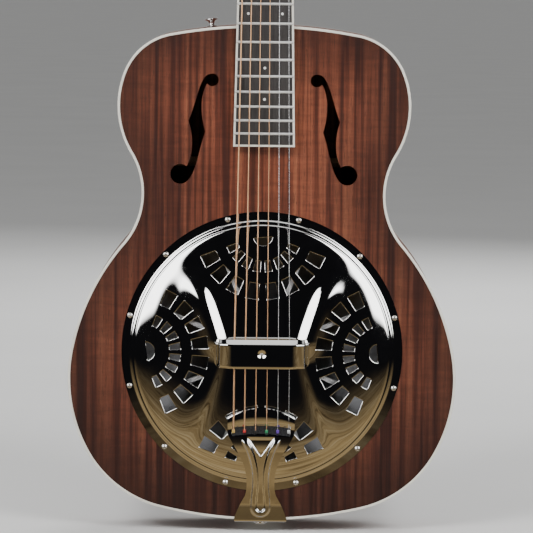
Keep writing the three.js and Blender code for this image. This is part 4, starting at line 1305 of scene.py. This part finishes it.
def nut_block():
    """The nut, with a round-bottomed slot for each string."""
    top = NUT_HEIGHT + 0.5
    y = SCALE / 2
    side = [(y, 0), (y + NUT_THICK, 0), (y + NUT_THICK, top - 2.2), (y + 3, top - 0.4), (y, top)]
    across = Matrix(((0, 0, 1, 0), (1, 0, 0, 0), (0, 1, 0, 0), (0, 0, 0, 1)))
    half = BOARD_NUT_WIDTH / 2
    block = moved(flat_solid([side], -half, half, 0.3), across)
    grooves = []
    for number, radius in enumerate(STRING_RADII):
        height = nut_height(radius)
        x = string_x(NUT_SPREAD, number)
        steps = ((-2, 0.2), (0, 0.1), (2.6, -0.1), (8, -1.7))
        route = [(x, y + ahead, height + up) for ahead, up in steps]
        grooves.append(rod(route, radius + 0.06, 16))
    whole = combined(block, joined(grooves), "DIFFERENCE")
    piece("nut_block", whole, NECK, BONE, replaces=["nut"])


# ---- Tuners -------------------------------------------------------------------------------------------

PLATE_FACE = -HEADPLATE - 2 * GAP - HEAD_THICK - 1.3
GEAR_TOP = PLATE_FACE - 0.6
GEAR_THICK = 3.2
GEAR_MIDDLE = GEAR_TOP - GEAR_THICK / 2
WORM_DROP = 8.6
WORM_PITCH = 2 * math.pi * 6 / 15
SHAFT_END = 34
BUTTON_START = 19.5
PLATE_SCREW_ROWS = (29, 65.5, 104.5, 134)


def post_mesh():
    foot = GEAR_TOP - GEAR_THICK - 0.4
    profile = [(0, foot), (2.3, foot), (2.3, GEAR_TOP + 0.2), (3, GEAR_TOP + 0.2), (3, 6.8)]
    profile += bezier((3, 6.8), (3, 8), (2.5, 8.4), (2.5, 9.4), 5)
    profile += bezier((2.5, 11.6), (2.5, 12.8), (3, 13), (3, 14.2), 5)
    profile += [(3, 18.2)] + bezier((3, 18.2), (3, 18.8), (2.6, 19), (2, 19), 4) + [(0, 19)]
    hole = moved(turned(capped(0.9, -6, 6), 16), turn(90, "X"), at(0, 0, 10.5))
    return combined(turned(profile, 40), hole, "DIFFERENCE")


def worm_mesh():
    """The worm, a section with one crest twisted about X, on its shaft."""
    half = 4
    sides = 28
    steps = 72
    rings = []
    for k in range(steps + 1):
        x = half * (2 * k / steps - 1)
        ring = []
        for j in range(sides):
            around = 2 * math.pi * j / sides
            radius = 1.8 + 1.4 * smooth_step(-0.15, 0.75, math.cos(around))
            angle = around + 2 * math.pi * x / WORM_PITCH
            ring.append((x, radius * math.cos(angle), radius * math.sin(angle)))
        rings.append(ring)
    shaft = moved(turned(capped(1.5, -9.2, SHAFT_END), 24), turn(90, "Y"))
    return combined(lofted(rings), shaft, "UNION")


def button_mesh():
    """A button turned about X and flattened, with the hole for its shaft."""
    profile = [(0, 0), (3.4, 0)]
    profile += bezier((3.4, 0), (3.9, 0.2), (3.6, 2.6), (4.2, 3.4), 5)
    profile += bezier((4.2, 3.4), (5.6, 5), (8.6, 4.6), (9.3, 8), 7)
    profile += bezier((9.3, 8), (10, 12), (8.6, 17.4), (4, 18.5), 9)
    profile += bezier((4, 18.5), (2.8, 18.8), (1.4, 18.8), (0, 18.8), 4)
    flattened = Matrix.Diagonal((1, 0.6, 1, 1))
    body_of_button = moved(turned(profile, 48), at(0, 0, BUTTON_START), turn(90, "Y"), flattened)
    hole = moved(turned(capped(1.7, 0, SHAFT_END + GAP), 24), turn(90, "Y"))
    return combined(body_of_button, hole, "DIFFERENCE")


def string_coil(radius):
    """The string's last turns about its post."""
    pitch = 2.06 * radius
    turns = min(3, 2.0 / pitch)
    steps = math.ceil(28 * turns)
    reach = POST_WAIST + radius
    points = []
    for k in range(steps + 1):
        done = turns * k / steps
        angle = math.pi - 2 * math.pi * done
        points.append((reach * math.cos(angle), reach * math.sin(angle), COIL_HEIGHT + pitch * done))
    return rod(points, radius, 10)


def mirrored_mesh(mesh, sign):
    """The same mesh, or its mirror image for the bass side with its faces turned back outwards."""
    if sign < 0:
        mesh.transform(Matrix.Diagonal((-1, 1, 1, 1)))
        mesh.flip_normals()
    return mesh


def tuners():
    """Each string's post, coil and gear screw on its post's body, and its worm and button on its key's."""
    for _, name, radius, side, row, wire, wire_slot in string_set():
        spot = HEAD @ at(side * POST_X, row, 0)
        key_spot = spot @ at(0, -WORM_DROP, GEAR_MIDDLE)
        post_body, key_body = "post_" + name, "key_" + name
        post = mirrored_mesh(post_mesh(), side)
        piece(f"string_post_{name}", post, spot, STEEL, post_body, replaces=[f"post_{name}"])
        coil = mirrored_mesh(string_coil(radius), side)
        piece(f"string_coil_{name}", coil, spot, wire, post_body)
        screw = small_screw(0, 0, GEAR_TOP - GEAR_THICK - 0.5, 2.2, -1)
        piece(f"gear_screw_{name}", screw, spot, STEEL, post_body)
        worm = mirrored_mesh(worm_mesh(), side)
        piece(f"worm_{name}", worm, key_spot, STEEL, key_body, replaces=[f"worm_shaft_{name}"])
        button = mirrored_mesh(button_mesh(), side)
        piece(f"key_button_{name}", button, key_spot, CREAM, key_body, replaces=[f"button_{name}"])
    columns = [side * (POST_X + x) for side in (-1, 1) for x in (-6.5, 6.5)]
    made = [small_screw(x, y, PLATE_FACE, 1.4, -1) for x in columns for y in PLATE_SCREW_ROWS]
    piece("tuner_plate_screws", joined(made), HEAD, STEEL)


def frame_finishes():
    """Finishes of the pieces that keep the frame's own shape."""
    for material, names in (
        (SPRUCE, ("lining_front", "lining_back", "neck_block", "tail_block")),
        (SPRUCE, ("back_brace_upper", "back_brace_lower")),
        (PLY, ("soundwell",)),
        (CAST, ("spider",)),
        (STEEL, ("tension_screw", "truss_rod")),
        (NICKEL, ("tuner_plate_bass", "tuner_plate_treble")),
        (BRASS, [f"gear_{name}" for name in STRING_NAMES]),
    ):
        for name in names:
            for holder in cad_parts[name].material_slots:
                holder.material = material


# ---- Studio -------------------------------------------------------------------------------------------

# Reflections show a painted dome, not the studio: painted softboxes, a painted near-black room and a
# painted wooden floor.
ROOM_EYE = 0.2  # metres above the origin: where the directions of the painted reflections are measured from
FLOOR_HALF = 90
PAINTED_SOFTBOXES = (
    (-62, -19, 0, 40, 6.0),
    (21, 62, 0, 40, 6.0),
    (-45, 45, 57, 84, 1.3),
)  # degrees from left to right and from bottom to top, and strength


def staged(name, mesh, material, camera_sees=True):
    mesh.materials.append(material)
    made = bpy.data.objects.new(name, mesh)
    bpy.context.scene.collection.objects.link(made)
    made.visible_camera = camera_sees
    return made


def painted_reflection_dome():
    """Painted reflections: an emissive dome painted with a near-black room, softboxes and a warm wooden
    floor. Only reflections show it.
    """
    f = Finish("painted reflections")
    tree = f.tree
    tree.nodes.remove(f.shader)
    aim = f.node("ShaderNodeMapping", {"Vector": f.place, "Location": (0, 0, -ROOM_EYE)}).outputs[0]
    aim = f.vector("NORMALIZE", {0: aim})
    x, y, z = f.node("ShaderNodeSeparateXYZ", {0: aim}).outputs
    sideways = f.math("DEGREES", f.math("ARCTAN2", x, f.math("MULTIPLY", y, -1.0)))
    rise = f.math("DEGREES", f.math("ARCSINE", z))

    def window(value, low, high, soft=1.5):
        past = f.fade(value, high - soft, high + soft)
        return f.math("MULTIPLY", f.fade(value, low - soft, low + soft), f.math("SUBTRACT", 1.0, past))

    # Painted softboxes: bright patches on the dome that light nothing and show only in reflections.
    glow = 0.0
    for left, right, bottom, top, power in PAINTED_SOFTBOXES:
        box_mask = f.math("MULTIPLY", window(sideways, left, right), window(rise, bottom, top))
        glow = f.math("ADD", glow, f.math("MULTIPLY", box_mask, power))
    # A painted reflection of a wooden floor that the scene doesn't have, painted brighter further down.
    down = f.math("MAXIMUM", f.math("MULTIPLY", z, -1.0), 0.02)
    across = f.math("MULTIPLY", f.math("DIVIDE", x, down), 0.7)
    away = f.math("MULTIPLY", f.math("DIVIDE", y, down), 5.0)
    painted_floor_boards = f.node("ShaderNodeCombineXYZ", {0: across, 1: away})
    grain = f.noise(None, 4, 0.62, 1.2, vector=painted_floor_boards.outputs[0])
    stops = ((0.32, (0.10, 0.062, 0.022)), (0.5, (0.36, 0.25, 0.11)), (0.68, (0.58, 0.45, 0.25)))
    wood = f.ramp(grain, *stops)
    slow = f.math("MULTIPLY", f.fade(rise, -9.0, -30.0), 0.92)
    edge = f.math("MULTIPLY", f.grey(rise, 0.0, 1.0, -10.5, -13.5), 0.08)
    lit = f.math("ADD", slow, edge)
    floor = f.mix(lit, (0.0, 0.0, 0.0, 1), wood)
    # Painted near-black room: a faint grey over everything else.
    room = f.mix(1.0, floor, (0.006, 0.006, 0.007, 1), "ADD")
    glow_color = f.node("ShaderNodeCombineColor", {0: glow, 1: glow, 2: glow}).outputs[0]
    seen = f.mix(1.0, room, glow_color, "ADD")
    shine = f.node("ShaderNodeEmission", {"Color": seen, "Strength": 1.0})
    tree.links.new(shine.outputs[0], tree.nodes["Material Output"].inputs["Surface"])

    bm = bmesh.new()
    bmesh.ops.create_uvsphere(bm, u_segments=48, v_segments=24, radius=5)
    behind = [v for v in bm.verts if v.co.y > 0.4]
    bmesh.ops.delete(bm, geom=behind, context="VERTS")
    bmesh.ops.translate(bm, verts=bm.verts, vec=(0, 0, ROOM_EYE))
    made = staged("painted_reflection_dome", as_is(bm), f.material, camera_sees=False)
    made.visible_diffuse = False
    made.visible_transmission = False
    made.visible_volume_scatter = False
    made.visible_shadow = False


def studio():
    f = Finish("studio floor")
    mottle = f.noise((3, 3, 3), 3, 0.5)
    tint = f.ramp(mottle, (0.3, (0.70, 0.70, 0.69)), (0.7, (0.73, 0.73, 0.72)))
    floor_finish = f.set(Base_Color=tint, Roughness=0.7)
    bm = bmesh.new()
    bmesh.ops.create_grid(bm, x_segments=1, y_segments=1, size=FLOOR_HALF)
    level = moved(as_is(bm), at(0, 0, cad_box[0][2]))
    # The real floor stays out of reflections, which show the painted floor of the dome instead.
    staged("floor", level, floor_finish).visible_glossy = False
    painted_reflection_dome()

    world = bpy.data.worlds.new("studio")
    bpy.context.scene.world = world
    world.use_nodes = True
    background = world.node_tree.nodes["Background"]
    Nodes(world.node_tree).fill(background, {"Color": (1, 1, 1, 1), "Strength": 0.35})

    for name, spot, power, size in (
        ("key", (-1.3, -1.7, 1.9), 50, 1.0),
        ("fill", (1.3, -1.7, 1.9), 45, 1.0),
        ("rear", (0.6, 2.4, 1.8), 60, 1.5),
    ):
        data = bpy.data.lights.new(name, "AREA")
        data.energy = power
        data.size = size
        lamp = bpy.data.objects.new(name, data)
        lamp.location = spot
        lamp.rotation_euler = (Vector((0, 0, 0.5)) - Vector(spot)).to_track_quat("-Z", "Y").to_euler()
        # Lamps stay out of reflections; the painted softboxes show there instead.
        lamp.visible_glossy = False
        bpy.context.scene.collection.objects.link(lamp)


def camera():
    distance = 3.0
    view_width = 0.516  # at that distance
    elevation = math.radians(5.4)
    roll = 0.6
    aim = Vector((0.0036, -0.045, 0.2486))
    sensor = 36
    spot = aim + distance * Vector((0, -math.cos(elevation), math.sin(elevation)))
    data = bpy.data.cameras.new("camera")
    data.sensor_width = sensor
    data.lens = sensor * distance / view_width
    data.clip_end = 2 * FLOOR_HALF
    made = bpy.data.objects.new("camera", data)
    facing = (aim - spot).to_track_quat("-Z", "Y").to_matrix().to_4x4()
    made.matrix_world = Matrix.Translation(spot) @ facing @ turn(roll, "Z")
    bpy.context.scene.collection.objects.link(made)
    bpy.context.scene.camera = made


camera()
body()
coverplate()
screws()
cone()
palm_rest()
saddle_block()
strings()
tailpiece()
strap_buttons()
fingerboard()
neck()
headstock_face()
nut_block()
tuners()
frame_finishes()
studio()
